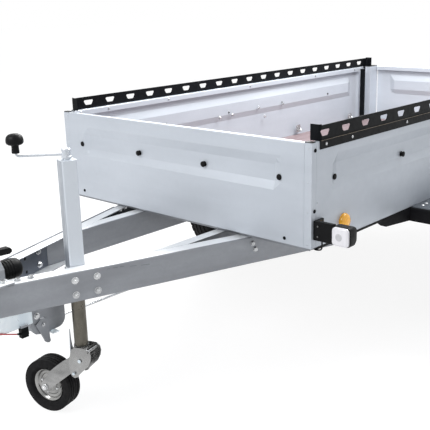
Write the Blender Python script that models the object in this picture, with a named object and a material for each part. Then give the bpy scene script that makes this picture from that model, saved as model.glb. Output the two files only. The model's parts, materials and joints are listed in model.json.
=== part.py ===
"""Tandem box trailer with a channel drawbar, standing on its jockey wheel.

Run with: blender --background --python part.py
Metres, +X forwards to the coupling, +Y to the trailer's left, +Z up, standing on z = 0.
"""
import math

import bmesh
import bpy
from mathutils import Matrix, Vector

# Driving dimensions of the body
BODY_LENGTH = 2.986
BODY_WIDTH = 1.552
WALL_HEIGHT = 0.427
WALL_DEPTH = 0.025
BODY_BASE_Z = 0.691
SHEET = 0.0025
FLOOR_THICKNESS = 0.015

# How far the hinges reach past the body
HINGE_SETBACK = 0.012
HINGE_BARREL = 0.0065

# Gaps
GAP = 0.0003
MOVING_GAP = 0.0055
OVERRUN = 0.01

# Pressed bead of the wall panels, heights above the body's lower edge
BEAD_LOW = 0.217
BEAD_LOW_FLAT = 0.253
BEAD_HIGH_FLAT = 0.321
BEAD_HIGH = 0.362
BEAD_DEPTH = 0.011
BEAD_END_MARGIN = 0.112
BEAD_END_SLOPE = 0.040
LIP_HEIGHT = 0.030
LIP_RADIUS = 0.004

# Corner posts
FRONT_POST_ALONG = 0.030
FRONT_POST_ACROSS = 0.036
REAR_POST_ALONG = 0.108
REAR_POST_ACROSS = 0.070
REAR_RECESS = 0.070
POST_SHEET = 0.003

# Lashing rail
RAIL_FRONT_SETBACK = 0.052
RAIL_REAR_SETBACK = 0.055
RAIL_WEB_HEIGHT = 0.0612
RAIL_FLANGE_HEIGHT = 0.032
RAIL_SHEET = 0.003
RAIL_END_TURN = 0.046
RAIL_END_RISE = 0.004
RAIL_BEND = 0.012
RAIL_HOLE_PITCH = 0.1476
RAIL_HOLE_TOP = 0.062
RAIL_HOLE_BOTTOM = 0.046
RAIL_HOLE_HEIGHT = 0.025
RAIL_HOLE_RISE = 0.018
RAIL_FIRST_HOLE_LEFT = 0.036
RAIL_FIRST_HOLE_RIGHT = 0.110

# Drawbar and chassis channels
BEAM_HEIGHT = 0.124
BEAM_FLANGE = 0.060
BEAM_SHEET = 0.004
BEAM_DROP = 0.021
BEAM_FOLD = 0.008
DRAWBAR_FRONT_REACH = 1.035
DRAWBAR_REAR_REACH = 0.560
DRAWBAR_HALF_WIDTH_AT_BODY = 0.4248
DRAWBAR_HALF_WIDTH_AT_FRONT = 0.0834
DRAWBAR_SPLAY = (DRAWBAR_HALF_WIDTH_AT_BODY - DRAWBAR_HALF_WIDTH_AT_FRONT) / DRAWBAR_FRONT_REACH
RAIL_HALF_SPACING = 0.237
RAIL_FLANGE = 0.056
RAIL_REAR_INSET = 0.060

# Cross bearers
BEARER_WIDTH = 0.050
BEARER_SHEET = 0.003
BEARER_INSET = 0.0265
BEARER_PLACES = (0.056, 1.250)

# Road wheels and axles
TYRE_RADIUS = 0.307
TYRE_WIDTH = 0.185
RIM_RADIUS = 0.178
RIM_WIDTH = 0.150
WHEEL_OUTSET = 0.116
WHEEL_HALF_TRACK = BODY_WIDTH / 2 + WHEEL_OUTSET
AXLE_CENTRE_SETBACK = 1.720
AXLE_SPACING = 0.680
ARM_TRAIL = 0.080
ARM_DROP = 0.200
AXLE_BEAM_SIZE = 0.066
AXLE_BEAM_INSET = 0.086
AXLE_BEAM_HALF = BODY_WIDTH / 2 - AXLE_BEAM_INSET
ARM_THICKNESS = 0.030
STUB_RADIUS = 0.020
STUB_CLEARANCE = 0.0005
BACKPLATE_RADIUS = 0.105
BACKPLATE_THICKNESS = 0.006
DRUM_RADIUS = 0.100
WHEEL_SEGMENTS = 32

# Mudguards
GUARD_FRONT_SETBACK = 0.808
GUARD_REACH = 0.224
GUARD_OUTER_HALF = BODY_WIDTH / 2 + GUARD_REACH
GUARD_INNER_LAP = 0.025
GUARD_SHEET = 0.004
GUARD_FRONT_DROP = 0.070
GUARD_TOP_DROP = 0.0003
GUARD_SKIRT = 0.050
GUARD_CORNER = 0.022
STAY_REACH = 0.270
STAY_SHEET = 0.004

# Jockey stand
POST_SIZE = 0.063
POST_WALL = 0.003
POST_CORNER = 0.008
POST_FROM_FRONT = 0.380
POST_AHEAD = DRAWBAR_FRONT_REACH - POST_FROM_FRONT
POST_INSET = 0.0972
POST_SIDE = DRAWBAR_HALF_WIDTH_AT_BODY - DRAWBAR_SPLAY * POST_AHEAD - POST_INSET
POST_TOP = 0.397
POST_BOTTOM = -0.130
TUBE_CLEARANCE = 0.0004
TUBE_RADIUS = POST_SIZE / 2 - POST_WALL - TUBE_CLEARANCE
TUBE_WALL = 0.003
TUBE_IN_POST = 0.240
JOCKEY_AXLE_TURN = math.radians(15.4)
JOCKEY_TRAIL = 0.169
JOCKEY_RADIUS = 0.116
JOCKEY_WIDTH = 0.070
JOCKEY_RIM_RADIUS = 0.068
KNUCKLE_HEIGHT = 0.262
FORK_PLATE = 0.004
FORK_LIP_LEAN = 0.0035
FORK_GAP = MOVING_GAP + FORK_LIP_LEAN
JOCKEY_STUB_RADIUS = 0.008

# Coupling, overrun device and brake gear
HOUSING_OVERHANG = 0.115
HOUSING_FRONT = DRAWBAR_FRONT_REACH + HOUSING_OVERHANG
HOUSING_LENGTH = 0.215
HOUSING_REAR = HOUSING_FRONT - HOUSING_LENGTH
HOUSING_HALF = 0.058
HOUSING_TOP = 0.078
HOUSING_FOOT_HALF = 0.118
HOUSING_FOOT = 0.007
DRAW_TUBE_RADIUS = 0.030
DRAW_AXIS_RISE = 0.026
BELLOWS_LENGTH = 0.150
BELLOWS_FRONT = HOUSING_FRONT + BELLOWS_LENGTH
COUPLING_LENGTH = 0.3245
COUPLING_REACH = BELLOWS_FRONT + COUPLING_LENGTH
BALL_HEAD_RADIUS = 0.042
ROD_RADIUS = 0.005
ROD_DROP = 0.268
CABLE_RADIUS = 0.0025

# Places worked out from the driving dimensions
BODY_FRONT_X = (BODY_LENGTH + HINGE_SETBACK + HINGE_BARREL - COUPLING_REACH) / 2
BODY_REAR_X = BODY_FRONT_X - BODY_LENGTH
HALF_WIDTH = BODY_WIDTH / 2
BEAM_TOP_Z = BODY_BASE_Z - BEAM_DROP
BEAM_BOTTOM_Z = BEAM_TOP_Z - BEAM_HEIGHT
RAIL_REAR_X = BODY_REAR_X + RAIL_REAR_INSET
WHEEL_Z = TYRE_RADIUS
HINGE_X = BODY_REAR_X - HINGE_SETBACK
HINGE_Z = BODY_BASE_Z - HINGE_SETBACK

COLOURS = {
    "galvanised": ((0.50, 0.52, 0.55), 0.42, 0.75),
    "panel": ((0.62, 0.64, 0.68), 0.40, 0.60),
    "black_steel": ((0.015, 0.015, 0.017), 0.45, 0.20),
    "black_plastic": ((0.020, 0.020, 0.022), 0.60, 0.0),
    "tyre": ((0.025, 0.025, 0.027), 0.85, 0.0),
    "rim_silver": ((0.62, 0.63, 0.63), 0.35, 0.80),
    "plywood": ((0.33, 0.22, 0.19), 0.65, 0.0),
    "zinc": ((0.46, 0.45, 0.40), 0.38, 0.85),
    "lamp_red": ((0.55, 0.02, 0.02), 0.20, 0.0),
    "cable_red": ((0.60, 0.04, 0.04), 0.50, 0.0),
}


def clear_scene():
    """Remove every object of the file that the script starts in."""
    for item in list(bpy.data.objects):
        bpy.data.objects.remove(item, do_unlink=True)


def material(name):
    """Return the plain Principled material of that name."""
    found = bpy.data.materials.get(name)
    if found:
        return found
    colour, roughness, metallic = COLOURS[name]
    made = bpy.data.materials.new(name)
    made.use_nodes = True
    shader = made.node_tree.nodes["Principled BSDF"]
    shader.inputs["Base Color"].default_value = (*colour, 1.0)
    shader.inputs["Roughness"].default_value = roughness
    shader.inputs["Metallic"].default_value = metallic
    made.diffuse_color = (*colour, 1.0)
    return made


def finish_object(name, shape, finish, smooth=False):
    """Turn a bmesh into a named object with its faces pointing out."""
    bmesh.ops.recalc_face_normals(shape, faces=shape.faces)
    mesh = bpy.data.meshes.new(name)
    shape.to_mesh(mesh)
    shape.free()
    mesh.materials.append(material(finish))
    if smooth:
        mesh.shade_smooth()
        mesh.set_sharp_from_angle(angle=math.radians(35))
    item = bpy.data.objects.new(name, mesh)
    bpy.context.collection.objects.link(item)
    return item


def hide_cutter(item):
    """Mark an object as a cutter or a helper solid."""
    item.hide_render = True
    item.display_type = "WIRE"
    return item


def combine(item, helper, operation):
    """Cut or join a helper solid with an object by an exact Boolean."""
    hide_cutter(helper)
    step = item.modifiers.new(operation.lower(), "BOOLEAN")
    step.operation = operation
    step.object = helper


def cut(item, *helpers):
    """Cut helper solids out of an object."""
    for helper in helpers:
        combine(item, helper, "DIFFERENCE")


def join(item, *helpers):
    """Weld helper solids to an object."""
    for helper in helpers:
        combine(item, helper, "UNION")


def loft(name, rings, finish, smooth=False, closed=False):
    """Skin rings of equal count; the ends are capped unless the loft closes on itself."""
    shape = bmesh.new()
    made = [[shape.verts.new(point) for point in ring] for ring in rings]
    count = len(rings[0])
    pairs = list(zip(made, made[1:]))
    if closed:
        pairs.append((made[-1], made[0]))
    for first, second in pairs:
        for index in range(count):
            after = (index + 1) % count
            shape.faces.new((first[index], first[after], second[after], second[index]))
    if not closed:
        shape.faces.new(made[0][::-1])
        shape.faces.new(made[-1])
    return finish_object(name, shape, finish, smooth)


def prism(name, outline, axis, low, high, finish, smooth=False):
    """Extrude an outline of coordinate pairs along X, Y or Z."""
    places = {
        "X": lambda a, b, c: (c, a, b),
        "Y": lambda a, b, c: (a, c, b),
        "Z": lambda a, b, c: (a, b, c),
    }[axis]
    rings = [[places(a, b, level) for a, b in outline] for level in (low, high)]
    return loft(name, rings, finish, smooth)


def block(name, low, high, finish):
    """Make a plain block between two corners."""
    outline = [(low[0], low[1]), (high[0], low[1]), (high[0], high[1]), (low[0], high[1])]
    return prism(name, outline, "Z", low[2], high[2], finish)


def arc(centre, radius, start, end, steps):
    """Return points along an arc, angles in degrees."""
    turns = [math.radians(start + (end - start) * step / steps) for step in range(steps + 1)]
    return [(centre[0] + radius * math.cos(t), centre[1] + radius * math.sin(t)) for t in turns]


def rounded_outline(half_a, half_b, radius, steps=3, centre=(0.0, 0.0)):
    """Return a rectangle with rounded corners."""
    points = []
    for side_a, side_b, start in ((1, 1, 0), (-1, 1, 90), (-1, -1, 180), (1, -1, 270)):
        middle = (centre[0] + side_a * (half_a - radius), centre[1] + side_b * (half_b - radius))
        points += arc(middle, radius, start, start + 90, steps)
    return points


def turned(name, profile, finish, axis=(0, 0, 1), place=(0, 0, 0), segments=24, ring=False):
    """Revolve radius and height pairs about an axis; a ring's profile closes on itself."""
    shape = bmesh.new()
    rows = []
    for radius, height in profile:
        if radius < GAP:
            rows.append([shape.verts.new((0, 0, height))] * segments)
            continue
        turns = [2 * math.pi * step / segments for step in range(segments)]
        rows.append([shape.verts.new((radius * math.cos(t), radius * math.sin(t), height)) for t in turns])
    pairs = list(zip(rows, rows[1:]))
    if ring:
        pairs.append((rows[-1], rows[0]))
    for first, second in pairs:
        for step in range(segments):
            after = (step + 1) % segments
            corners = [first[step], first[after], second[after], second[step]]
            corners = list(dict.fromkeys(corners))
            if len(corners) > 2:
                shape.faces.new(corners)
    if not ring:
        for row, flip in ((rows[0], True), (rows[-1], False)):
            if row[0] is not row[1]:
                shape.faces.new(row[::-1] if flip else row)
    turn = Vector((0, 0, 1)).rotation_difference(Vector(axis)).to_matrix().to_4x4()
    bmesh.ops.transform(shape, matrix=Matrix.Translation(place) @ turn, verts=shape.verts)
    return finish_object(name, shape, finish, smooth=True)


def rod(name, start, end, radius, finish, segments=12):
    """Make a round bar between two points."""
    start, end = Vector(start), Vector(end)
    length = (end - start).length
    profile = [(radius, 0.0), (radius, length)]
    return turned(name, profile, finish, axis=(end - start).normalized(), place=start, segments=segments)


def swept(name, points, radius, finish, segments=10):
    """Make a round bar along a route of points, its rings carried without twist."""
    route = [Vector(point) for point in points]
    ways = [(after - before).normalized() for before, after in zip(route, route[1:])]
    headings = [ways[0]] + [(a + b).normalized() for a, b in zip(ways, ways[1:])] + [ways[-1]]
    side = headings[0].orthogonal().normalized()
    rings = []
    for place, heading in zip(route, headings):
        side = (side - heading * side.dot(heading)).normalized()
        other = heading.cross(side)
        turns = [2 * math.pi * step / segments for step in range(segments)]
        rings.append([place + radius * (side * math.cos(t) + other * math.sin(t)) for t in turns])
    return loft(name, rings, finish, smooth=True)


def smooth_route(points, steps):
    """Read points from a smooth curve through the route's own points."""
    knots = [Vector(points[0])] + [Vector(point) for point in points] + [Vector(points[-1])]
    route = []
    for before, first, second, after in zip(knots, knots[1:], knots[2:], knots[3:]):
        for step in range(steps):
            t = step / steps
            route.append(0.5 * (2 * first + (second - before) * t
                                + (2 * before - 5 * first + 4 * second - after) * t ** 2
                                + (3 * first - before - 3 * second + after) * t ** 3))
    route.append(knots[-1])
    return route


def set_origin(item, place):
    """Put an object's origin at a point without moving its mesh."""
    place = Vector(place)
    item.data.transform(Matrix.Translation(-place))
    item.location = place


# Body panels

def panel_section(bead):
    """Return a wall panel's section as pairs of outward offset and height."""
    top = WALL_HEIGHT
    back = -WALL_DEPTH
    fold = arc((-LIP_RADIUS, top - LIP_RADIUS), LIP_RADIUS, 0, 90, 2)
    inner_fold = arc((back + LIP_RADIUS, top - LIP_RADIUS), LIP_RADIUS, 90, 180, 2)
    outer = [(0, 0), (0, BEAD_LOW), (-bead, BEAD_LOW_FLAT), (-bead, BEAD_HIGH_FLAT), (0, BEAD_HIGH)]
    outer += fold + inner_fold + [(back, top - LIP_HEIGHT)]
    inner = [(back + SHEET, top - LIP_HEIGHT), (back + SHEET, top - SHEET - LIP_RADIUS)]
    inner += [(back + SHEET + LIP_RADIUS / 2, top - SHEET), (-SHEET - LIP_RADIUS / 2, top - SHEET)]
    inner += [(-SHEET, top - SHEET - LIP_RADIUS), (-SHEET, BEAD_HIGH), (-bead - SHEET, BEAD_HIGH_FLAT)]
    inner += [(-bead - SHEET, BEAD_LOW_FLAT), (-SHEET, BEAD_LOW), (-SHEET, SHEET)]
    inner += [(back, SHEET), (back, 0)]
    return outer + inner


def wall_panel(name, length, frame):
    """Make a pressed panel; frame places a point of length, outward offset and height."""
    margin = BEAD_END_MARGIN
    stations = [(0, 0), (margin, 0), (margin + BEAD_END_SLOPE, BEAD_DEPTH)]
    stations += [(length - along, depth) for along, depth in reversed(stations)]
    rings = [[frame(along, out, up) for out, up in panel_section(depth)] for along, depth in stations]
    return loft(name, rings, "panel")


def front_panel():
    """Front wall between the front corner posts."""
    half = HALF_WIDTH - FRONT_POST_ACROSS - GAP
    wall_panel("front_panel", 2 * half,
               lambda along, out, up: (BODY_FRONT_X + out, along - half, BODY_BASE_Z + up))


def side_panel(name, side):
    """Side wall from the front post to the rear post's recess."""
    front = BODY_FRONT_X - FRONT_POST_ALONG - GAP
    rear = BODY_REAR_X + REAR_POST_ALONG + REAR_RECESS + GAP
    wall_panel(name, front - rear,
               lambda along, out, up: (front - along, side * (HALF_WIDTH + out), BODY_BASE_Z + up))


def tailgate():
    """Rear wall, hinged along its lower edge, with two hinge straps and a barrel on each."""
    half = HALF_WIDTH - REAR_POST_ACROSS - MOVING_GAP
    gate = wall_panel("tailgate", 2 * half,
                      lambda along, out, up: (BODY_REAR_X - out, along - half, BODY_BASE_Z + up))
    for number, middle in enumerate(HINGE_PLACES):
        low, high = middle - HINGE_STRAP / 2, middle + HINGE_STRAP / 2
        strap = block(f"gate_strap_{number}", (HINGE_X - HINGE_PLATE / 2, low, HINGE_Z),
                      (HINGE_X + HINGE_PLATE / 2, high, BODY_BASE_Z + HINGE_STRAP_RISE), "galvanised")
        lug = block(f"gate_lug_{number}", (HINGE_X, low, BODY_BASE_Z + HINGE_LUG_LOW),
                    (BODY_REAR_X + SHEET / 2, high, BODY_BASE_Z + HINGE_STRAP_RISE), "galvanised")
        barrel = rod(f"gate_barrel_{number}", (HINGE_X, low, HINGE_Z), (HINGE_X, high, HINGE_Z),
                     HINGE_BARREL, "galvanised")
        join(gate, strap, lug, barrel)
    set_origin(gate, (HINGE_X, 0, HINGE_Z))


HINGE_PLACES = (-0.480, 0.480)
HINGE_STRAP = 0.060
HINGE_PLATE = 0.005
HINGE_STRAP_RISE = 0.070
HINGE_LUG_LOW = 0.020
HINGE_EAR = 0.025


def front_post(name, side):
    """Angle post at a front corner."""
    out, along, across = SHEET, FRONT_POST_ALONG, FRONT_POST_ACROSS
    plan = [(0, 0), (-along, 0), (-along, -out), (-out, -out), (-out, -across), (0, -across)]
    points = [(BODY_FRONT_X + a, side * (HALF_WIDTH + b)) for a, b in plan]
    prism(name, points, "Z", BODY_BASE_Z, BODY_BASE_Z + WALL_HEIGHT, "panel")


def rear_post(name, side):
    """Folded channel post at a rear corner, open by a slit towards the recess."""
    sheet, deep, wide = POST_SHEET, REAR_POST_ALONG, REAR_POST_ACROSS
    slit = WALL_DEPTH
    plan = [(deep + REAR_RECESS, 0), (0, 0), (0, -wide), (deep, -wide), (deep, -slit)]
    plan += [(deep - sheet, -slit), (deep - sheet, sheet - wide), (sheet, sheet - wide)]
    plan += [(sheet, -sheet), (deep + REAR_RECESS, -sheet)]
    points = [(BODY_REAR_X + a, side * (HALF_WIDTH + b)) for a, b in plan]
    prism(name, points, "Z", BODY_BASE_Z, BODY_BASE_Z + WALL_HEIGHT, "panel")


def floor_board():
    """Plywood floor resting on the bearers and on the panels' lower lips."""
    inset = POST_SHEET + GAP
    front = BODY_FRONT_X - inset
    rear = BODY_REAR_X + WALL_DEPTH + MOVING_GAP
    half = HALF_WIDTH - inset
    notch_x = BODY_REAR_X + REAR_POST_ALONG + GAP
    notch_y = HALF_WIDTH - REAR_POST_ACROSS - GAP
    plan = [(front, half), (notch_x, half), (notch_x, notch_y), (rear, notch_y)]
    plan += [(a, -b) for a, b in reversed(plan)]
    low = BODY_BASE_Z + SHEET + GAP
    prism("floor_board", plan, "Z", low, low + FLOOR_THICKNESS, "plywood")


# Lashing rails

def lashing_rail(name, side, first_hole):
    """Perforated rail on a side wall: flange outside, web above, ends turned inwards."""
    front = BODY_FRONT_X - RAIL_FRONT_SETBACK
    rear = BODY_REAR_X + RAIL_REAR_SETBACK
    top = BODY_BASE_Z + WALL_HEIGHT
    outer = HALF_WIDTH + GAP
    sheet = RAIL_SHEET
    web = HALF_WIDTH - RAIL_SHEET
    section = [(outer, top - RAIL_FLANGE_HEIGHT), (outer + sheet, top - RAIL_FLANGE_HEIGHT)]
    section += [(outer + sheet, top + GAP + sheet), (web + sheet, top + GAP + sheet)]
    section += [(web + sheet, top + RAIL_WEB_HEIGHT), (web, top + RAIL_WEB_HEIGHT)]
    section += [(web, top + GAP), (outer, top + GAP)]
    rail = prism(name, [(side * a, b) for a, b in section], "X", rear, front, "black_steel")
    for number, (start, inwards) in enumerate(((front, -1), (rear, 1))):
        bend = RAIL_BEND
        turn = arc((0, 0), bend, 90, 0, 4)
        inner = arc((0, 0), bend - sheet, 0, 90, 4)
        plan = [(start + inwards * bend - inwards * a, web + sheet - bend + b) for a, b in turn]
        plan += [(start, web + sheet - RAIL_END_TURN), (start + inwards * sheet, web + sheet - RAIL_END_TURN)]
        plan += [(start + inwards * bend - inwards * a, web + sheet - bend + b) for a, b in inner]
        end = prism(f"{name}_end_{number}", [(a, side * b) for a, b in plan], "Z",
                    top + GAP, top + RAIL_WEB_HEIGHT + RAIL_END_RISE, "black_steel")
        trim_low = block(f"{name}_trim_{number}", (min(start, start + inwards * bend) - GAP,
                                                   -HALF_WIDTH - OVERRUN, top + GAP + sheet),
                         (max(start, start + inwards * bend), HALF_WIDTH + OVERRUN,
                          top + RAIL_WEB_HEIGHT + OVERRUN), "black_steel")
        cut(rail, trim_low)
        join(rail, end)
    holes = bmesh.new()
    place = front - first_hole
    low = top + RAIL_HOLE_RISE
    while place - RAIL_HOLE_TOP > rear:
        half_top, half_low = RAIL_HOLE_TOP / 2, RAIL_HOLE_BOTTOM / 2
        corner = RAIL_HOLE_HEIGHT / 5
        outline = [(half_low - corner, 0), (half_low, corner), (half_top, RAIL_HOLE_HEIGHT - corner)]
        outline += [(half_top - corner, RAIL_HOLE_HEIGHT)]
        outline += [(-a, b) for a, b in reversed(outline)]
        sides = []
        for across in (web - OVERRUN, web + sheet + OVERRUN):
            sides.append([holes.verts.new((place + a, side * across, low + b)) for a, b in outline])
        for index in range(len(outline)):
            after = (index + 1) % len(outline)
            holes.faces.new((sides[0][index], sides[0][after], sides[1][after], sides[1][index]))
        holes.faces.new(sides[0][::-1])
        holes.faces.new(sides[1])
        place -= RAIL_HOLE_PITCH
    cut(rail, finish_object(f"{name}_holes", holes, "black_steel"))


# Chassis

def drawbar_line(ahead):
    """Return the half width of the drawbar's outer faces at a distance ahead of the body."""
    return DRAWBAR_HALF_WIDTH_AT_BODY - DRAWBAR_SPLAY * ahead


def channel_section(height, flange, sheet, fold):
    """Return a channel as pairs of inward offset and height below the top."""
    outer = [(fold - a, -fold + b) for a, b in arc((0, 0), fold, 90, 0, 3)]
    outer = [(flange, 0)] + outer
    outer += [(a, -height - b) for a, b in reversed(outer)]
    inner_fold = fold - sheet
    corner = [(fold - a, -fold + b) for a, b in arc((0, 0), inner_fold, 90, 0, 2)]
    inner = [(flange, -sheet)] + corner
    inner += [(a, -height - b) for a, b in reversed(inner)]
    return outer + inner[::-1]


def drawbar_beam(name, side):
    """Outer drawbar channel, its web outside and its flanges inside."""
    slope = math.hypot(1, DRAWBAR_SPLAY)
    rings = []
    for ahead in (-DRAWBAR_REAR_REACH, DRAWBAR_FRONT_REACH):
        half = drawbar_line(ahead)
        ring = []
        for inward, drop in channel_section(BEAM_HEIGHT, BEAM_FLANGE, BEAM_SHEET, BEAM_FOLD):
            ring.append((BODY_FRONT_X + ahead, side * (half - inward * slope), BEAM_TOP_Z + drop))
        rings.append(ring)
    loft(name, rings, "galvanised")


def chassis_rail(name, side):
    """Inner channel from the rear of the body to the drawbar beam's web."""
    slope = math.hypot(1, DRAWBAR_SPLAY)
    rear, front = [], []
    for inward, drop in channel_section(BEAM_HEIGHT, RAIL_FLANGE, BEAM_SHEET, BEAM_FOLD):
        half = RAIL_HALF_SPACING + inward
        ahead = (DRAWBAR_HALF_WIDTH_AT_BODY - (BEAM_FOLD + GAP) * slope - half) / DRAWBAR_SPLAY
        rear.append((RAIL_REAR_X, side * half, BEAM_TOP_Z + drop))
        front.append((BODY_FRONT_X + ahead, side * half, BEAM_TOP_Z + drop))
    rail = loft(name, [rear, front], "galvanised")
    flange_edge = (BEAM_FLANGE + GAP) * slope
    reach = DRAWBAR_FRONT_REACH
    low_side = drawbar_line(reach) - flange_edge
    high_side = drawbar_line(0) - flange_edge
    plan = [(BODY_FRONT_X + reach, low_side), (BODY_FRONT_X, high_side), (BODY_FRONT_X, high_side + reach),
            (BODY_FRONT_X + reach, high_side + reach)]
    plan = [(a, side * b) for a, b in plan]
    clearance = BEAM_SHEET + GAP
    upper = prism(f"{name}_upper_notch", plan, "Z", BEAM_TOP_Z - clearance, BEAM_TOP_Z + OVERRUN, "galvanised")
    lower = prism(f"{name}_lower_notch", plan, "Z", BEAM_BOTTOM_Z - OVERRUN, BEAM_BOTTOM_Z + clearance,
                  "galvanised")
    cut(rail, upper, lower)


def bearer_section(width, low, high, sheet):
    """Return a downward-open channel across the chassis as X and Z pairs about zero."""
    half = width / 2
    return [(-half, low), (-half, high), (half, high), (half, low), (half - sheet, low),
            (half - sheet, high - sheet), (-half + sheet, high - sheet), (-half + sheet, low)]


def cross_bearer(name, setback):
    """Pressed channel under the floor, resting on rails and drawbar beams."""
    low = BEAM_TOP_Z + GAP
    high = BODY_BASE_Z + SHEET
    middle = BODY_FRONT_X - setback
    half = HALF_WIDTH - BEARER_INSET
    outline = [(middle + a, b) for a, b in bearer_section(BEARER_WIDTH, low, high, BEARER_SHEET)]
    prism(name, outline, "Y", -half, half, "galvanised")


def rear_bearer():
    """Rear cross member across the rails' ends, with the tailgate's hinge ears."""
    front = RAIL_REAR_X - GAP
    rear = front - BEARER_WIDTH / 2
    half = HALF_WIDTH - REAR_POST_ACROSS
    top = BODY_BASE_Z - GAP
    sheet = BEAM_SHEET
    outline = [(rear, BEAM_BOTTOM_Z), (rear, top), (front, top), (front, top - sheet),
               (rear + sheet, top - sheet), (rear + sheet, BEAM_BOTTOM_Z + sheet),
               (front, BEAM_BOTTOM_Z + sheet), (front, BEAM_BOTTOM_Z)]
    member = prism("rear_bearer", outline, "Y", -half, half, "galvanised")
    for number, middle in enumerate(HINGE_PLACES):
        for end in (-1, 1):
            inner = middle + end * (HINGE_STRAP / 2 + GAP)
            outer = inner + end * HINGE_EAR
            low, high = min(inner, outer), max(inner, outer)
            tag = f"{number}_{'low' if end < 0 else 'high'}"
            ear = block(f"ear_{tag}", (HINGE_X, low, HINGE_Z - HINGE_BARREL),
                        (rear + sheet / 2, high, HINGE_Z), "galvanised")
            barrel = rod(f"ear_barrel_{tag}", (HINGE_X, low, HINGE_Z), (HINGE_X, high, HINGE_Z),
                         HINGE_BARREL, "galvanised")
            join(member, ear, barrel)


# Axles and wheels

def axle(name, wheel_x):
    """Torsion axle: beam with chassis brackets, swing arms, stub axles and back plates."""
    beam_x = wheel_x + ARM_TRAIL
    beam_z = WHEEL_Z + ARM_DROP
    half_size = AXLE_BEAM_SIZE / 2
    outline = [(beam_x + a, beam_z + b) for a, b in rounded_outline(half_size, half_size, AXLE_FOLD, 2)]
    beam = prism(name, outline, "Y", -AXLE_BEAM_HALF, AXLE_BEAM_HALF, "galvanised")
    for side, word in ((1, "left"), (-1, "right")):
        reach = RAIL_HALF_SPACING
        inner, outer = sorted((side * (reach + OVERRUN), side * (reach + RAIL_FLANGE - OVERRUN)))
        bracket = block(f"{name}_bracket_{word}", (beam_x - half_size, inner, beam_z),
                        (beam_x + half_size, outer, BEAM_BOTTOM_Z - GAP), "galvanised")
        arm_low, arm_high = sorted((side * (AXLE_BEAM_HALF - OVERRUN), side * (AXLE_BEAM_HALF + ARM_THICKNESS)))
        lean = math.degrees(math.atan2(ARM_DROP, ARM_TRAIL))
        big, small = half_size * ARM_TOP_SHARE, half_size * ARM_FOOT_SHARE
        arm_outline = [(beam_x + a, beam_z + b) for a, b in arc((0, 0), big, lean - 90, lean + 90, 6)]
        arm_outline += [(wheel_x + a, WHEEL_Z + b) for a, b in arc((0, 0), small, lean + 90, lean + 270, 6)]
        arm = prism(f"{name}_arm_{word}", arm_outline, "Y", arm_low, arm_high, "galvanised")
        plate_inner = WHEEL_HALF_TRACK - TYRE_WIDTH / 2 - BACKPLATE_SETBACK
        stub = rod(f"{name}_stub_{word}", (wheel_x, side * AXLE_BEAM_HALF, WHEEL_Z),
                   (wheel_x, side * (plate_inner + STUB_REACH), WHEEL_Z), STUB_RADIUS, "galvanised", 20)
        plate = rod(f"{name}_plate_{word}", (wheel_x, side * plate_inner, WHEEL_Z),
                    (wheel_x, side * (plate_inner + BACKPLATE_THICKNESS), WHEEL_Z), BACKPLATE_RADIUS,
                    "galvanised", 28)
        join(beam, bracket, arm, stub, plate)


AXLE_FOLD = 0.010
ARM_TOP_SHARE = 1.1
ARM_FOOT_SHARE = 0.8
BACKPLATE_SETBACK = 0.034
STUB_REACH = 0.050


def tyre_profile():
    """Return the tyre's section as radius and offset pairs, running round once."""
    half = TYRE_WIDTH / 2
    bead = RIM_RADIUS + GAP
    tread = TYRE_RADIUS
    upper = [(bead + (tread - bead) * high_share, half * wide_share)
             for high_share, wide_share in TYRE_SECTION_SHARES]
    lower = [(radius, -offset) for radius, offset in reversed(upper)]
    return upper + lower


TYRE_SECTION_SHARES = ((0, 0.746), (0.093, 0.811), (0.349, 1.0), (0.690, 1.0), (0.891, 0.92),
                       (0.969, 0.78), (1.0, 0.55))


def rim_profile():
    """Return the rim, disc and drum as radius and offset pairs from inside to outside."""
    half = RIM_WIDTH / 2
    drum_in = -(TYRE_WIDTH / 2 + BACKPLATE_SETBACK - BACKPLATE_THICKNESS - MOVING_GAP)
    bore = STUB_RADIUS + STUB_CLEARANCE
    bore_deep = drum_in + STUB_REACH - BACKPLATE_THICKNESS - MOVING_GAP + GAP
    disc = RIM_DISC_OFFSET
    profile = [(0, bore_deep), (bore, bore_deep), (bore, drum_in), (DRUM_RADIUS, drum_in),
               (DRUM_RADIUS, disc - DISC_DEPTH), (RIM_RADIUS - RIM_WELL, disc - DISC_DISH)]
    profile += [(RIM_RADIUS + step, inwards - half) for step, inwards in RIM_BACK_STEPS]
    profile += [(RIM_RADIUS, GAP - half), (RIM_RADIUS, half - GAP)]
    profile += [(RIM_RADIUS + step, half + outwards) for step, outwards in RIM_FRONT_STEPS]
    profile += [(radius, disc + rise) for radius, rise in DISC_STEPS]
    low, high, crown = HUB_CAP_RISE
    profile += [(HUB_CAP_RADIUS, disc + low), (HUB_CAP_RADIUS * HUB_CAP_SHARE, disc + high), (0, disc + crown)]
    return profile


RIM_DISC_OFFSET = 0.020
HUB_CAP_RADIUS = 0.032
HUB_CAP_SHARE = 0.7
HUB_CAP_RISE = (0.030, 0.036, 0.037)
DISC_DEPTH = 0.010
DISC_DISH = 0.026
RIM_WELL = 0.030
RIM_BACK_STEPS = ((-0.030, 0.030), (-0.008, 0.006), (0.008, -0.004), (0.008, 0))
RIM_FRONT_STEPS = ((0.008, 0), (0.008, 0.004), (-0.006, -0.004), (-0.020, -0.030))
DISC_STEPS = ((0.152, -0.018), (0.115, 0.004), (0.085, 0.006), (0.070, -0.004), (0.032, -0.004))


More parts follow.
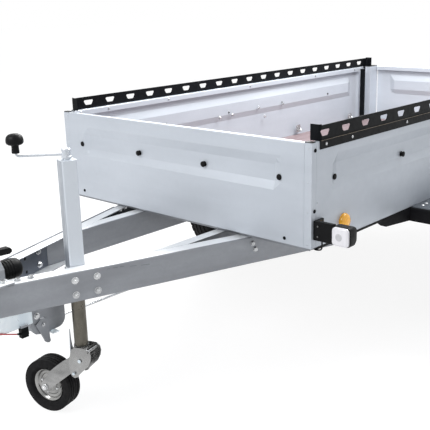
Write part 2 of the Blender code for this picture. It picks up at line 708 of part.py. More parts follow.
def road_wheel(place_word, side, wheel_x):
    """Tyre and rim of one road wheel, origins on the axle's line."""
    centre = (wheel_x, side * WHEEL_HALF_TRACK, WHEEL_Z)
    axis = (0, side, 0)
    tyre = turned(f"tyre_{place_word}", tyre_profile(), "tyre", axis, centre, WHEEL_SEGMENTS, ring=True)
    rim = turned(f"rim_{place_word}", rim_profile(), "rim_silver", axis, centre, WHEEL_SEGMENTS)
    for item in (tyre, rim):
        set_origin(item, centre)


# Mudguards

def mudguard(name, side):
    """Tandem mudguard with a folded front and rear, an outer skirt and a front stay."""
    front = BODY_FRONT_X - GUARD_FRONT_SETBACK
    rear = 2 * (BODY_FRONT_X - AXLE_CENTRE_SETBACK) - front
    top = BODY_BASE_Z - GUARD_TOP_DROP
    low = BODY_BASE_Z - GUARD_FRONT_DROP
    sheet = GUARD_SHEET
    inner = HALF_WIDTH - GUARD_INNER_LAP
    outer = GUARD_OUTER_HALF

    def outline(shrink, bottom):
        radius = GUARD_CORNER - shrink
        points = [(front - shrink, bottom)]
        points += [(front - GUARD_CORNER + a, top - GUARD_CORNER + b) for a, b in arc((0, 0), radius, 0, 90, 3)]
        points += [(rear + GUARD_CORNER + a, top - GUARD_CORNER + b) for a, b in arc((0, 0), radius, 90, 180, 3)]
        return points + [(rear + shrink, bottom)]

    shell = outline(0, low) + outline(sheet, low)[::-1]
    guard = prism(name, shell, "Y", *sorted((side * inner, side * outer)), "black_plastic")
    skirt_low = top - GUARD_SKIRT
    skirt = prism(f"{name}_skirt", outline(sheet / 2, skirt_low), "Y",
                  *sorted((side * outer, side * (outer - sheet))), "black_plastic")
    join(guard, skirt)
    tip = (front + STAY_REACH, HALF_WIDTH - STAY_TIP_INSET)
    foot = (front - sheet / 2, HALF_WIDTH - STAY_FOOT_INSET)
    along = Vector((tip[0] - foot[0], tip[1] - foot[1])).normalized()
    sideways = Vector((-along.y, along.x)) * STAY_SHEET / 2
    length = math.dist(tip, foot)
    shape = [(0, low), (length * STAY_BEND_SHARE, low + STAY_RISE), (length * STAY_KNEE_SHARE, low + STAY_KNEE)]
    shape += [(length, top - STAY_TIP_DEPTH), (length, top), (0, top)]
    rings = []
    for sign in (-1, 1):
        ring = []
        for distance, height in shape:
            spot = Vector(foot) + along * distance + sideways * sign
            ring.append((spot.x, side * spot.y, height))
        rings.append(ring)
    join(guard, loft(f"{name}_stay", rings, "black_plastic"))


STAY_TIP_INSET = 0.040
STAY_FOOT_INSET = 0.006
STAY_BEND_SHARE = 0.66
STAY_KNEE_SHARE = 0.80
STAY_RISE = 0.008
STAY_KNEE = 0.022
STAY_TIP_DEPTH = 0.010


# Jockey stand

def beam_frame():
    """Return the stand's centre and the directions along and out of the left beam."""
    along = Vector((1, -DRAWBAR_SPLAY, 0)).normalized()
    out = Vector((-along.y, along.x, 0))
    return Vector((BODY_FRONT_X + POST_AHEAD, POST_SIDE, BODY_BASE_Z)), along, out


def turned_prism(name, outline, centre, along, out, low, high, finish, smooth=False):
    """Extrude a plan outline given along and out of the beam between two heights."""
    rings = []
    for level in (low, high):
        ring = []
        for a, b in outline:
            spot = centre + along * a + out * b
            ring.append((spot.x, spot.y, level))
        rings.append(ring)
    return loft(name, rings, finish, smooth)


def jockey_post():
    """Square outer tube with a cap plate and spindle boss, open below."""
    centre, along, out = beam_frame()
    half = POST_SIZE / 2
    low, high = BODY_BASE_Z + POST_BOTTOM, BODY_BASE_Z + POST_TOP
    outer = rounded_outline(half, half, POST_CORNER)
    inner = rounded_outline(half - POST_WALL, half - POST_WALL, POST_CORNER - POST_WALL)
    post = turned_prism("jockey_post", outer, centre, along, out, low, high, "galvanised", smooth=True)
    bore = turned_prism("jockey_post_bore", inner, centre, along, out, low - OVERRUN, high - POST_WALL,
                        "galvanised")
    cut(post, bore)
    boss = rod("jockey_post_boss", (centre.x, centre.y, high - POST_WALL / 2),
               (centre.x, centre.y, high + BOSS_RISE), BOSS_RADIUS, "galvanised", 16)
    join(post, boss)


BOSS_RISE = 0.006
BOSS_RADIUS = 0.016
CRANK_BOSS_RADIUS = 0.013
CRANK_BOSS_HEIGHT = 0.034
CRANK_REACH = 0.196
CRANK_ROD_RADIUS = 0.0045
CRANK_BEND = 0.012
CRANK_TURN = math.radians(-42)
CRANK_LEVEL_SHARE = 0.4
CRANK_KNEE_SHARE = 0.3
KNOB_RADIUS = 0.031
KNOB_HEIGHT = 0.074
KNOB_PROFILE_SHARES = ((0.44, 0.0), (0.42, 0.38), (0.56, 0.43), (0.93, 0.50), (1.0, 0.62), (0.97, 0.76),
                       (0.80, 0.90), (0.50, 0.98), (0.20, 1.0))


def jockey_crank():
    """Crank on the stand's head: boss, bent rod and mushroom knob."""
    centre, _, _ = beam_frame()
    base = BODY_BASE_Z + POST_TOP + BOSS_RISE + GAP
    boss = turned("jockey_crank", [(CRANK_BOSS_RADIUS, 0), (CRANK_BOSS_RADIUS, CRANK_BOSS_HEIGHT)],
                  "zinc", place=(centre.x, centre.y, base), segments=16)
    heading = Vector((math.cos(CRANK_TURN), math.sin(CRANK_TURN), 0))
    level = base + CRANK_BOSS_HEIGHT * CRANK_LEVEL_SHARE
    start = Vector((centre.x, centre.y, level))
    corner = start + heading * (CRANK_REACH - CRANK_BEND)
    end = start + heading * CRANK_REACH + Vector((0, 0, CRANK_BEND * 2))
    knee = CRANK_BEND * CRANK_KNEE_SHARE
    middle = start + heading * (CRANK_REACH - knee) + Vector((0, 0, knee))
    route = [start, corner, middle, end]
    bar = swept("jockey_crank_rod", route, CRANK_ROD_RADIUS, "zinc")
    profile = [(KNOB_RADIUS * wide_share, KNOB_HEIGHT * high_share)
               for wide_share, high_share in KNOB_PROFILE_SHARES]
    knob = turned("jockey_crank_knob", profile, "black_plastic",
                  place=(end.x, end.y, level + CRANK_BEND), segments=20)
    join(boss, bar, knob)


def jockey_clamp():
    """Bracket from the left beam's web to the stand, cheeks either side of the post."""
    centre, along, out = beam_frame()
    half = POST_SIZE / 2 + GAP
    line = (drawbar_line(POST_AHEAD) - POST_SIDE) / math.hypot(1, DRAWBAR_SPLAY)
    web = line - BEAM_SHEET - GAP
    plate = CLAMP_PLATE
    reach = -half + CLAMP_LAP
    outline = [(-CLAMP_HALF, web), (-CLAMP_HALF, web - plate), (-half - plate, web - plate)]
    outline += [(-half - plate, reach), (-half, reach), (-half, web - plate), (half, web - plate)]
    outline += [(half, reach), (half + plate, reach), (half + plate, web - plate)]
    outline += [(CLAMP_HALF, web - plate), (CLAMP_HALF, web)]
    low = BEAM_BOTTOM_Z + BEAM_SHEET + CLAMP_INSET
    high = BEAM_TOP_Z - BEAM_SHEET - CLAMP_INSET
    turned_prism("jockey_clamp", outline, centre, along, out, low, high, "galvanised")


CLAMP_PLATE = 0.005
CLAMP_HALF = 0.062
CLAMP_LAP = 0.010
CLAMP_INSET = 0.006


def jockey_directions():
    """Return the fork's pivot, its axle direction and the direction that it trails in."""
    centre, _, _ = beam_frame()
    axle_way = Vector((math.cos(JOCKEY_AXLE_TURN), math.sin(JOCKEY_AXLE_TURN), 0))
    trail = Vector((axle_way.y, -axle_way.x, 0))
    pivot = Vector((centre.x, centre.y, KNUCKLE_HEIGHT))
    hub = Vector((centre.x, centre.y, 0)) + trail * JOCKEY_TRAIL + Vector((0, 0, JOCKEY_RADIUS))
    return pivot, hub, axle_way, trail


def jockey_tube():
    """Round inner tube that slides in the post."""
    centre, _, _ = beam_frame()
    top = BODY_BASE_Z + POST_BOTTOM + TUBE_IN_POST
    low = KNUCKLE_HEIGHT + HEAD_DROP
    profile = [(TUBE_RADIUS, low), (TUBE_RADIUS, top), (TUBE_RADIUS - TUBE_WALL, top),
               (TUBE_RADIUS - TUBE_WALL, low)]
    tube = turned("jockey_tube", profile, "zinc", place=(centre.x, centre.y, 0), segments=24, ring=True)
    set_origin(tube, (centre.x, centre.y, low))


def knuckle_point(pivot, axle_way, trail, ahead, up, offset):
    """Return a point given by its distances from the foot of the tube's axis."""
    return pivot + trail * ahead + axle_way * offset + Vector((0, 0, up))


def jockey_head():
    """Swivel head under the tube: bearing, saddle, two knuckle plates and their pins."""
    pivot, _, axle_way, trail = jockey_directions()
    high = HEAD_DROP - GAP
    low = high - HEAD_DISC
    head = turned("jockey_head", [(HEAD_RADIUS, low), (HEAD_RADIUS, high)], "zinc",
                  place=tuple(pivot), segments=24)
    inner = TUBE_RADIUS + MOVING_GAP
    outer = inner + KNUCKLE_PLATE
    outline = [(KNUCKLE_SIZE * a_share, KNUCKLE_SIZE * b_share) for a_share, b_share in KNUCKLE_SHARES]
    for side, word in ((-1, "a"), (1, "b")):
        rings = []
        for offset in sorted((side * inner, side * outer)):
            rings.append([tuple(knuckle_point(pivot, axle_way, trail, a, b, offset)) for a, b in outline])
        join(head, loft(f"jockey_knuckle_{word}", rings, "zinc"))
    saddle_rings = []
    for offset in (-inner - KNUCKLE_PLATE / 2, inner + KNUCKLE_PLATE / 2):
        corners = [(-SADDLE_HALF, low - SADDLE_PLATE), (SADDLE_HALF, low - SADDLE_PLATE),
                   (SADDLE_HALF, low + GAP), (-SADDLE_HALF, low + GAP)]
        saddle_rings.append([tuple(knuckle_point(pivot, axle_way, trail, a, b, offset)) for a, b in corners])
    join(head, loft("jockey_saddle", saddle_rings, "zinc"))
    reach = outer + PIN_HEAD
    for word, ahead, up in (("pin", -PIN_BACK, PIN_RISE), ("stop", STOP_AHEAD, -STOP_DROP),
                            ("latch", -LATCH_BACK, LATCH_RISE)):
        ends = [knuckle_point(pivot, axle_way, trail, ahead, up, offset) for offset in (-reach, reach)]
        join(head, rod(f"jockey_{word}", ends[0], ends[1], PIN_RADIUS, "zinc", 12))
    set_origin(head, pivot)


HEAD_DROP = 0.0645
HEAD_DISC = 0.014
HEAD_RADIUS = 0.031
SADDLE_HALF = 0.028
SADDLE_PLATE = 0.006
KNUCKLE_SIZE = 0.070
KNUCKLE_PLATE = 0.004
KNUCKLE_SHARES = ((0.26, -1.10), (0.44, -1.03), (0.57, -0.83), (0.60, -0.57), (0.63, -0.17), (0.50, 0.26),
                  (0.39, 0.64), (0.14, 0.86), (-0.33, 0.91), (-0.70, 0.91), (-0.92, 0.76), (-0.985, 0.50),
                  (-0.92, 0.18), (-0.71, -0.21), (-0.37, -0.54), (-0.09, -0.81), (0.06, -1.01))
PIN_RADIUS = 0.006
PIN_HEAD = 0.004
PIN_BACK = 0.014
PIN_RISE = 0.0055
STOP_AHEAD = 0.018
STOP_DROP = 0.055
LATCH_BACK = 0.052
LATCH_RISE = 0.050


def jockey_fork():
    """Folding fork: two joggled arms with a leaning lip from the pivot pin to the wheel's axle."""
    pivot, hub, axle_way, trail = jockey_directions()
    pin = pivot - trail * PIN_BACK + Vector((0, 0, PIN_RISE))
    length = (hub - pin).length
    along = (hub - pin).normalized()
    across = axle_way.cross(along).normalized()
    narrow = TUBE_RADIUS + MOVING_GAP - GAP - FORK_PLATE
    wide = JOCKEY_WIDTH / 2 + FORK_GAP
    items = []
    for side, word in ((1, "a"), (-1, "b")):
        rings = []
        for way_share, low_share, crease_share, high_share, wide_share, lean_share in FORK_ARM_SHARES:
            inner = narrow + (wide - narrow) * wide_share
            lean = FORK_LIP_LEAN * lean_share
            section = [(low_share, inner), (crease_share, inner), (high_share, inner - lean)]
            section += [(b, offset + FORK_PLATE) for b, offset in reversed(section)]
            rings.append([tuple(pin + along * (length * way_share) + across * (FORK_ARM_WIDTH * b)
                                + axle_way * (side * offset)) for b, offset in section])
        items.append(loft("jockey_fork" if side > 0 else f"jockey_fork_arm_{word}", rings, "zinc"))
    fork = items[0]
    bridge_rings = []
    for offset in (-narrow - FORK_PLATE / 2, narrow + FORK_PLATE / 2):
        corners = [(length * a_share, FORK_ARM_WIDTH * b_share) for a_share, b_share in FORK_BRIDGE_SHARES]
        bridge_rings.append([tuple(pin + along * a + across * b + axle_way * offset) for a, b in corners])
    bridge = loft("jockey_fork_bridge", bridge_rings, "zinc")
    reach = wide + FORK_PLATE + PIN_HEAD
    stub = rod("jockey_fork_axle", hub - axle_way * reach, hub + axle_way * reach, JOCKEY_STUB_RADIUS, "zinc", 12)
    join(fork, items[1], bridge, stub)
    stop = pivot + trail * STOP_AHEAD - Vector((0, 0, STOP_DROP))
    for word, place in (("pin", pin), ("stop", stop)):
        cut(fork, rod(f"jockey_fork_{word}_hole", place - axle_way * reach, place + axle_way * reach,
                      PIN_RADIUS + STUB_CLEARANCE, "zinc", 12))
    set_origin(fork, pivot)


FORK_ARM_WIDTH = 0.042
FORK_ARM_SHARES = ((-0.10, -0.28, -0.02, 0.22, 0, 0), (-0.07, -0.55, 0, 0.30, 0, 0), (0, -0.80, 0, 0.40, 0, 0),
                   (0.365, -1.0, 0, 0.45, 0, 0.5), (0.48, -1.0, 0, 0.45, 1, 1), (0.66, -0.98, -0.02, 0.45, 1, 1),
                   (0.80, -0.85, -0.02, 0.45, 1, 0.8), (0.92, -0.68, 0, 0.50, 1, 0.4), (1.0, -0.58, 0, 0.54, 1, 0),
                   (1.07, -0.42, 0, 0.42, 1, 0), (1.10, -0.20, 0, 0.20, 1, 0))
FORK_BRIDGE_SHARES = ((0.08, 0.22), (0.24, 0.22), (0.24, 0.32), (0.08, 0.32))


def jockey_wheel():
    """Solid rubber tyre on a pressed rim."""
    _, hub, axle_way, _ = jockey_directions()
    half = JOCKEY_WIDTH / 2
    bead = JOCKEY_RIM_RADIUS + GAP
    depth = JOCKEY_RADIUS - bead
    upper = [(bead + depth * high_share, half * wide_share) for high_share, wide_share in JOCKEY_TYRE_SHARES]
    profile = upper + [(radius, -offset) for radius, offset in reversed(upper)]
    tyre = turned("jockey_tyre", profile, "tyre", axle_way, hub, 32, ring=True)
    bore = JOCKEY_STUB_RADIUS + STUB_CLEARANCE
    hub_face = half + JOCKEY_HUB_PROUD
    face = [(bore, hub_face), (JOCKEY_HUB_RADIUS, hub_face)]
    face += [(JOCKEY_RIM_RADIUS * high_share, half * wide_share) for high_share, wide_share in JOCKEY_RIM_SHARES]
    profile = face + [(radius, -offset) for radius, offset in reversed(face)]
    rim = turned("jockey_rim", profile, "rim_silver", axle_way, hub, 32, ring=True)
    for item in (tyre, rim):
        set_origin(item, hub)


JOCKEY_TYRE_SHARES = ((0, 0.70), (0.25, 0.92), (0.66, 1.0), (0.91, 0.72), (1.0, 0.40))
JOCKEY_RIM_SHARES = ((0.25, 0.45), (0.62, 0.36), (0.80, 0.62), (1.0, 0.74))
JOCKEY_HUB_PROUD = 0.002
JOCKEY_HUB_RADIUS = 0.017


# Coupling and brake gear

def overrun_housing():
    """Housing bolted on the drawbar's flanges, with its lower box and damper cap."""
    base = BEAM_TOP_Z + GAP
    half, foot = HOUSING_HALF, HOUSING_FOOT_HALF
    shoulder, ridge = HOUSING_TOP * HOUSING_SHOULDER_SHARE, half * HOUSING_RIDGE_SHARE
    outline = [(-foot, 0), (-foot, HOUSING_FOOT), (-half, HOUSING_FOOT), (-half, shoulder)]
    outline += [(-ridge, HOUSING_TOP), (ridge, HOUSING_TOP), (half, shoulder), (half, HOUSING_FOOT)]
    outline += [(foot, HOUSING_FOOT), (foot, 0)]
    outline = [(a, base + b) for a, b in outline]
    front, rear = BODY_FRONT_X + HOUSING_FRONT, BODY_FRONT_X + HOUSING_REAR
    housing = prism("overrun_housing", outline, "X", rear, front, "galvanised")
    profile = [(DAMPER_RADIUS, -OVERRUN)]
    profile += [(DAMPER_RADIUS * wide_share, DAMPER_REACH * way_share) for wide_share, way_share in DAMPER_SHARES]
    cap = turned("damper_cap", profile, "black_plastic", (-1, 0, 0), (rear, 0, base + DAMPER_RISE), 24)
    neck_half = RELAY_NECK_HALF
    neck = block("overrun_neck", (rear, -neck_half, BEAM_BOTTOM_Z - RELAY_BOX_DROP / 2),
                 (rear + RELAY_NECK_LENGTH, neck_half, base + OVERRUN), "galvanised")
    lower = block("overrun_box", (rear - RELAY_SETBACK, -RELAY_BOX_HALF, BEAM_BOTTOM_Z - RELAY_BOX_DROP),
                  (front, RELAY_BOX_HALF, BEAM_BOTTOM_Z - RELAY_BOX_TOP), "galvanised")
    clip_x = rear + CABLE_CLIP_AHEAD
    clip_z = BEAM_BOTTOM_Z - RELAY_BOX_DROP
    clip = block("cable_clip", (clip_x - CABLE_CLIP_LENGTH, CABLE_CLIP_SIDE - CABLE_CLIP_HALF, clip_z - CABLE_CLIP_DROP),
                 (clip_x, CABLE_CLIP_SIDE + CABLE_CLIP_HALF, clip_z + OVERRUN), "black_steel")
    join(housing, cap, neck, lower, clip)


HOUSING_SHOULDER_SHARE = 0.55
HOUSING_RIDGE_SHARE = 0.55
DAMPER_REACH = 0.098
DAMPER_RADIUS = 0.040
DAMPER_RISE = 0.0155
DAMPER_SHARES = ((1.0, 0.70), (0.94, 0.88), (0.78, 0.97), (0.60, 1.0))
RELAY_SETBACK = 0.105
RELAY_NECK_HALF = 0.022
RELAY_NECK_LENGTH = 0.080
RELAY_BOX_HALF = 0.048
RELAY_BOX_DROP = 0.088
RELAY_BOX_TOP = 0.006
CABLE_CLIP_AHEAD = -0.045
CABLE_CLIP_LENGTH = 0.030
CABLE_CLIP_SIDE = 0.048
CABLE_CLIP_HALF = 0.010
CABLE_CLIP_DROP = 0.040


def brake_relay():
    """Relay bracket behind the housing's lower box, with its hanging lever."""
    front = BODY_FRONT_X + HOUSING_REAR - RELAY_SETBACK - GAP
    top = BEAM_BOTTOM_Z - RELAY_BOX_TOP
    low = BEAM_BOTTOM_Z - RELAY_BRACKET_DROP
    rear = front - RELAY_BRACKET_LENGTH
    radius = RELAY_BRACKET_CORNER
    outline = [(front, top), (front, low + radius)]
    outline += arc((front - radius, low + radius), radius, 0, -90, 3)
    outline += arc((rear + radius, low + radius), radius, -90, -180, 5)
    outline += [(rear, top)]
    half = RELAY_BRACKET_HALF
    bracket = prism("brake_relay", outline, "Y", -half, half, "galvanised")
    hollow = prism("brake_relay_hollow", [(rear - OVERRUN, top + OVERRUN), (front - CLAMP_PLATE, top + OVERRUN),
                                          (front - CLAMP_PLATE, low - OVERRUN), (rear - OVERRUN, low - OVERRUN)],
                   "Y", -half + CLAMP_PLATE, half - CLAMP_PLATE, "galvanised")
    cut(bracket, hollow)
    lever_top = Vector((front - LEVER_PIVOT_SETBACK, 0, low + LEVER_PIVOT_RISE))
    lever_tip = lever_top + Vector((LEVER_LEAN, 0, -LEVER_LENGTH))
    wide, narrow = LEVER_WIDE / 2, LEVER_NARROW / 2
    plan = arc((lever_top.x, lever_top.z), wide, 0, 180, 5) + arc((lever_tip.x, lever_tip.z), narrow, 180, 360, 5)
    lever = prism("relay_lever", plan, "Y", half - CLAMP_PLATE / 2, half + CLAMP_PLATE, "galvanised")
    join(bracket, lever)


RELAY_BRACKET_DROP = 0.154
RELAY_BRACKET_LENGTH = 0.165
RELAY_BRACKET_CORNER = 0.040
RELAY_BRACKET_HALF = 0.030
LEVER_PIVOT_SETBACK = 0.052
LEVER_PIVOT_RISE = 0.040
LEVER_LENGTH = 0.070
LEVER_LEAN = -0.016
LEVER_WIDE = 0.054
LEVER_NARROW = 0.026


def coupling_head():
    """Ball coupling on the draw tube, with its locking handle."""
    axis_z = BEAM_TOP_Z + GAP + DRAW_AXIS_RISE
    start = BODY_FRONT_X + HOUSING_FRONT + GAP
    tip = BODY_FRONT_X + COUPLING_REACH
    head_x = tip - BALL_HEAD_RADIUS
    tube = rod("coupling_head", (start, 0, axis_z), (head_x, 0, axis_z), DRAW_TUBE_RADIUS, "zinc", 20)
    back = BODY_FRONT_X + BELLOWS_FRONT + OVERRUN
    shell_low, shell_high = axis_z - COUPLING_SHELL_DROP, axis_z + COUPLING_SHELL_RISE
    plan = [(back, -COUPLING_SHELL_HALF)] + arc((head_x, 0), BALL_HEAD_RADIUS, -90, 90, 8)
    plan += [(back, COUPLING_SHELL_HALF)]
    shell = prism("coupling_shell", plan, "Z", shell_low, shell_high, "zinc")
    cup_profile = [(0, -COUPLING_CUP_DEPTH), (COUPLING_BALL, -COUPLING_CUP_DEPTH)]
    cup_profile += [(COUPLING_BALL * wide_share, COUPLING_BALL * high_share)
                    for wide_share, high_share in COUPLING_CUP_SHARES]
    cup = turned("coupling_cup", cup_profile, "zinc", place=(head_x, 0, axis_z - COUPLING_CUP_DROP), segments=20)
    grip_half = COUPLING_GRIP / 2
    grip_outline = [(head_x + along, shell_high + up) for along, up in COUPLING_GRIP_NOSE]
    grip_outline += [(back + along, shell_high + up) for along, up in COUPLING_GRIP_HANDLE]
    grip_outline.append((head_x + COUPLING_GRIP_HEEL[0], shell_high + COUPLING_GRIP_HEEL[1]))
    grip = prism("coupling_grip", grip_outline, "Y", -grip_half, grip_half, "zinc")
    join(tube, shell, grip)
    cut(tube, cup)


COUPLING_CUP_DEPTH = 0.060
COUPLING_BALL = 0.026
COUPLING_CUP_DROP = 0.021
COUPLING_CUP_SHARES = ((1.0, 0.3), (0.6, 0.8), (0, 1.0))
COUPLING_SHELL_HALF = 0.033
COUPLING_SHELL_DROP = 0.039
COUPLING_SHELL_RISE = 0.0345
COUPLING_GRIP = 0.034
COUPLING_GRIP_NOSE = ((-0.030, -GAP), (0.012, -GAP), (0.006, 0.020))
COUPLING_GRIP_HANDLE = ((0.020, 0.055), (-0.030, 0.060), (-0.030, 0.046), (0.018, 0.040))
COUPLING_GRIP_HEEL = (-0.040, 0.012)


def bellows():
    """Corrugated rubber sleeve over the draw tube."""
    axis_z = BEAM_TOP_Z + GAP + DRAW_AXIS_RISE
    start = BODY_FRONT_X + HOUSING_FRONT + 2 * GAP
    length = BELLOWS_FRONT - HOUSING_FRONT
    inner = DRAW_TUBE_RADIUS + STUB_CLEARANCE
    profile = [(inner, 0), (inner, length)]
    for fold in range(BELLOWS_FOLDS, -1, -1):
        place = length * fold / BELLOWS_FOLDS
        profile.append((BELLOWS_LOW, place))
        if fold:
            profile.append((BELLOWS_HIGH, place - length / BELLOWS_FOLDS / 2))
    turned("bellows", profile, "black_plastic", axis=(1, 0, 0), place=(start, 0, axis_z), segments=20, ring=True)


BELLOWS_FOLDS = 7
BELLOWS_LOW = 0.037
BELLOWS_HIGH = 0.045


def handbrake_lever():
    """Handbrake lever lying back over the drawbar beside the housing's top."""
    base = BEAM_TOP_Z + GAP + HOUSING_TOP + GAP
    rear = BODY_FRONT_X + HANDBRAKE_REAR
    front = BODY_FRONT_X + HOUSING_FRONT - OVERRUN
    half = HANDBRAKE_HALF
    outline = [(front - back, base + up) for back, up in HANDBRAKE_HEAD]
    outline += [(rear + along, base + up) for along, up in HANDBRAKE_GRIP]
    outline += [(front - back, base + up) for back, up in HANDBRAKE_FOOT]
    prism("handbrake_lever", outline, "Y", -half, half, "black_plastic")


HANDBRAKE_LENGTH = 0.282
HANDBRAKE_REAR = HOUSING_FRONT - HANDBRAKE_LENGTH
HANDBRAKE_HALF = 0.014
HANDBRAKE_HEAD = ((0, 0), (0, 0.020), (0.060, 0.034))
HANDBRAKE_GRIP = ((0.100, 0.030), (0.008, 0.026), (0, 0.018), (0, 0.008), (0.010, 0.002), (0.100, 0.006))
HANDBRAKE_FOOT = ((0.090, 0.008), (0.070, 0))


def brake_rod():
    """Threaded rod from the relay to the equaliser in front of the first axle."""
    start = BODY_FRONT_X + HOUSING_REAR - RELAY_SETBACK - RELAY_BRACKET_LENGTH + ROD_START
    beam_front = BODY_FRONT_X - AXLE_CENTRE_SETBACK + AXLE_SPACING / 2 + ARM_TRAIL + AXLE_BEAM_SIZE / 2
    level = BODY_BASE_Z - ROD_DROP
    bar = rod("brake_rod", (start, 0, level), (beam_front + EQUALISER_GAP, 0, level), ROD_RADIUS, "zinc", 10)
    plate = block("equaliser", (beam_front + EQUALISER_GAP - EQUALISER_THICKNESS, -EQUALISER_HALF,
                                level - EQUALISER_HEIGHT / 2),
                  (beam_front + EQUALISER_GAP + EQUALISER_THICKNESS, EQUALISER_HALF,
                   level + EQUALISER_HEIGHT / 2), "zinc")
    hanger = block("equaliser_hanger", (beam_front + GAP, -EQUALISER_THICKNESS, level - ROD_RADIUS),
                   (beam_front + EQUALISER_GAP, EQUALISER_THICKNESS, WHEEL_Z + ARM_DROP), "zinc")
    join(bar, plate, hanger)


ROD_START = 0.030
EQUALISER_GAP = 0.060
EQUALISER_THICKNESS = 0.005
EQUALISER_HALF = 0.090
EQUALISER_HEIGHT = 0.030


def breakaway_cable():
    """Thin red cable hanging from the clip under the overrun box forwards to the coupling."""
    base = Vector((BODY_FRONT_X, 0, BODY_BASE_Z))
    route = [base + Vector(place) for place in CABLE_ROUTE]
    curve = bpy.data.curves.new("breakaway_cable", "CURVE")
    curve.dimensions = "3D"
    curve.bevel_depth = CABLE_RADIUS
    curve.bevel_resolution = 2
    curve.use_fill_caps = True
    points = smooth_route(route, CABLE_STEPS)
    spline = curve.splines.new("POLY")
    spline.points.add(len(points) - 1)
    for slot, point in zip(spline.points, points):
        slot.co = (*point, 1.0)
    curve.materials.append(material("cable_red"))
    bpy.context.collection.objects.link(bpy.data.objects.new("breakaway_cable", curve))


CABLE_STEPS = 5
CABLE_ROUTE = [(0.8905, 0.052, -0.262), (0.920, 0.052, -0.264), (0.980, 0.052, -0.272), (1.050, 0.051, -0.278),
               (1.120, 0.048, -0.272), (1.190, 0.044, -0.250), (1.250, 0.038, -0.212), (1.300, 0.032, -0.162),
               (1.335, 0.027, -0.112), (1.352, 0.023, -0.068), (1.355, 0.020, -0.0345)]


# Lamps

def marker_lamp(name, side, arm_end):
    """Front marker lamp on a rubber arm at the side wall's front corner."""
    front = BODY_FRONT_X - LAMP_SETBACK
    low, high = BODY_BASE_Z + LAMP_LOW, BODY_BASE_Z + LAMP_HIGH
    root = HALF_WIDTH + GAP
    foot, arm_width = front - LAMP_FOOT, LAMP_ARM
    arm_plan = [(front, root), (foot, root)]
    if arm_end > root + arm_width:
        arm_plan += [(foot, root + arm_width / 2), (front - arm_width, root + arm_width)]
        arm_plan += [(front - arm_width, arm_end), (front, arm_end)]
    else:
        arm_plan += [(foot, arm_end), (front, arm_end)]
    arm = prism(name, [(a, side * b) for a, b in arm_plan], "Z", low, high, "black_plastic")
    middle_y = arm_end + LAMP_WIDTH / 2
    half = LAMP_WIDTH / 2 + LAMP_LAP
    centre = (low + high) / 2
    section = rounded_outline(half, (high - low) / 2, LAMP_CORNER, 3)
    rings = []
    for ahead, share in LAMP_STATION_SHARES:
        x_place = front + (LAMP_PROUD if ahead > 0 else LAMP_BODY) * ahead
        rings.append([(x_place, side * (middle_y + a * share), centre + b * share) for a, b in section])
    join(arm, loft(f"{name}_body", rings, "black_plastic"))


LAMP_SETBACK = 0.014
LAMP_LOW = 0.037
LAMP_HIGH = 0.116
LAMP_FOOT = 0.060
LAMP_ARM = 0.018
LAMP_ARM_REACH_LEFT = 0.094
LAMP_ARM_REACH_RIGHT = 0.008
LAMP_WIDTH = 0.078
LAMP_LAP = 0.003
LAMP_CORNER = 0.016
LAMP_PROUD = 0.008
LAMP_BODY = 0.052
LAMP_STATION_SHARES = ((1.0, 0.90), (0.6, 1.0), (-0.6, 1.0), (-1.0, 0.82))


def rear_lamp(name, side):
    """Rear lamp cluster on the rear cross member."""
    front = RAIL_REAR_X - GAP - BEARER_WIDTH / 2 - GAP
    middle_y = side * REAR_LAMP_SIDE
    centre = (BEAM_TOP_Z + BEAM_BOTTOM_Z) / 2 - REAR_LAMP_DROP
    section = rounded_outline(REAR_LAMP_HALF_WIDTH, REAR_LAMP_HALF_HEIGHT, LAMP_CORNER, 3)
    rings = []
    for depth_share, share in REAR_LAMP_SHARES:
        rings.append([(front - REAR_LAMP_DEPTH * depth_share, middle_y + a * share, centre + b * share)
                      for a, b in section])
    loft(name, rings, "lamp_red")


REAR_LAMP_INSET = 0.201
REAR_LAMP_SIDE = HALF_WIDTH - REAR_LAMP_INSET
REAR_LAMP_HALF_WIDTH = 0.100
REAR_LAMP_HALF_HEIGHT = 0.046
REAR_LAMP_DEPTH = 0.036
REAR_LAMP_DROP = 0.004
REAR_LAMP_SHARES = ((0, 0.96), (0.5, 1.0), (1.0, 0.90))


def build():
    """Build every sub-part in order."""
    clear_scene()
    front_panel()
    tailgate()
    floor_board()
    for side, word in ((1, "left"), (-1, "right")):
        side_panel(f"side_panel_{word}", side)
        front_post(f"front_post_{word}", side)
        rear_post(f"rear_post_{word}", side)
        first_hole = RAIL_FIRST_HOLE_LEFT if side > 0 else RAIL_FIRST_HOLE_RIGHT
        lashing_rail(f"lashing_rail_{word}", side, first_hole)
        drawbar_beam(f"drawbar_beam_{word}", side)
        chassis_rail(f"chassis_rail_{word}", side)
        mudguard(f"mudguard_{word}", side)
        marker_lamp(f"marker_lamp_{word}", side,
                    HALF_WIDTH + (LAMP_ARM_REACH_LEFT if side > 0 else LAMP_ARM_REACH_RIGHT))
        rear_lamp(f"rear_lamp_{word}", side)
        for row, offset in (("front", AXLE_SPACING / 2), ("rear", -AXLE_SPACING / 2)):
            road_wheel(f"{row}_{word}", side, BODY_FRONT_X - AXLE_CENTRE_SETBACK + offset)
    for number, setback in enumerate(BEARER_PLACES, 1):
        cross_bearer(f"bearer_{number}", setback)
    rear_bearer()
    for row, offset in (("front", AXLE_SPACING / 2), ("rear", -AXLE_SPACING / 2)):
        axle(f"axle_{row}", BODY_FRONT_X - AXLE_CENTRE_SETBACK + offset)
    overrun_housing()
    brake_relay()
    coupling_head()
    bellows()
    handbrake_lever()
    brake_rod()
    breakaway_cable()
    jockey_clamp()
    jockey_post()
    jockey_crank()
    jockey_tube()
    jockey_head()
    jockey_fork()
    jockey_wheel()


build()
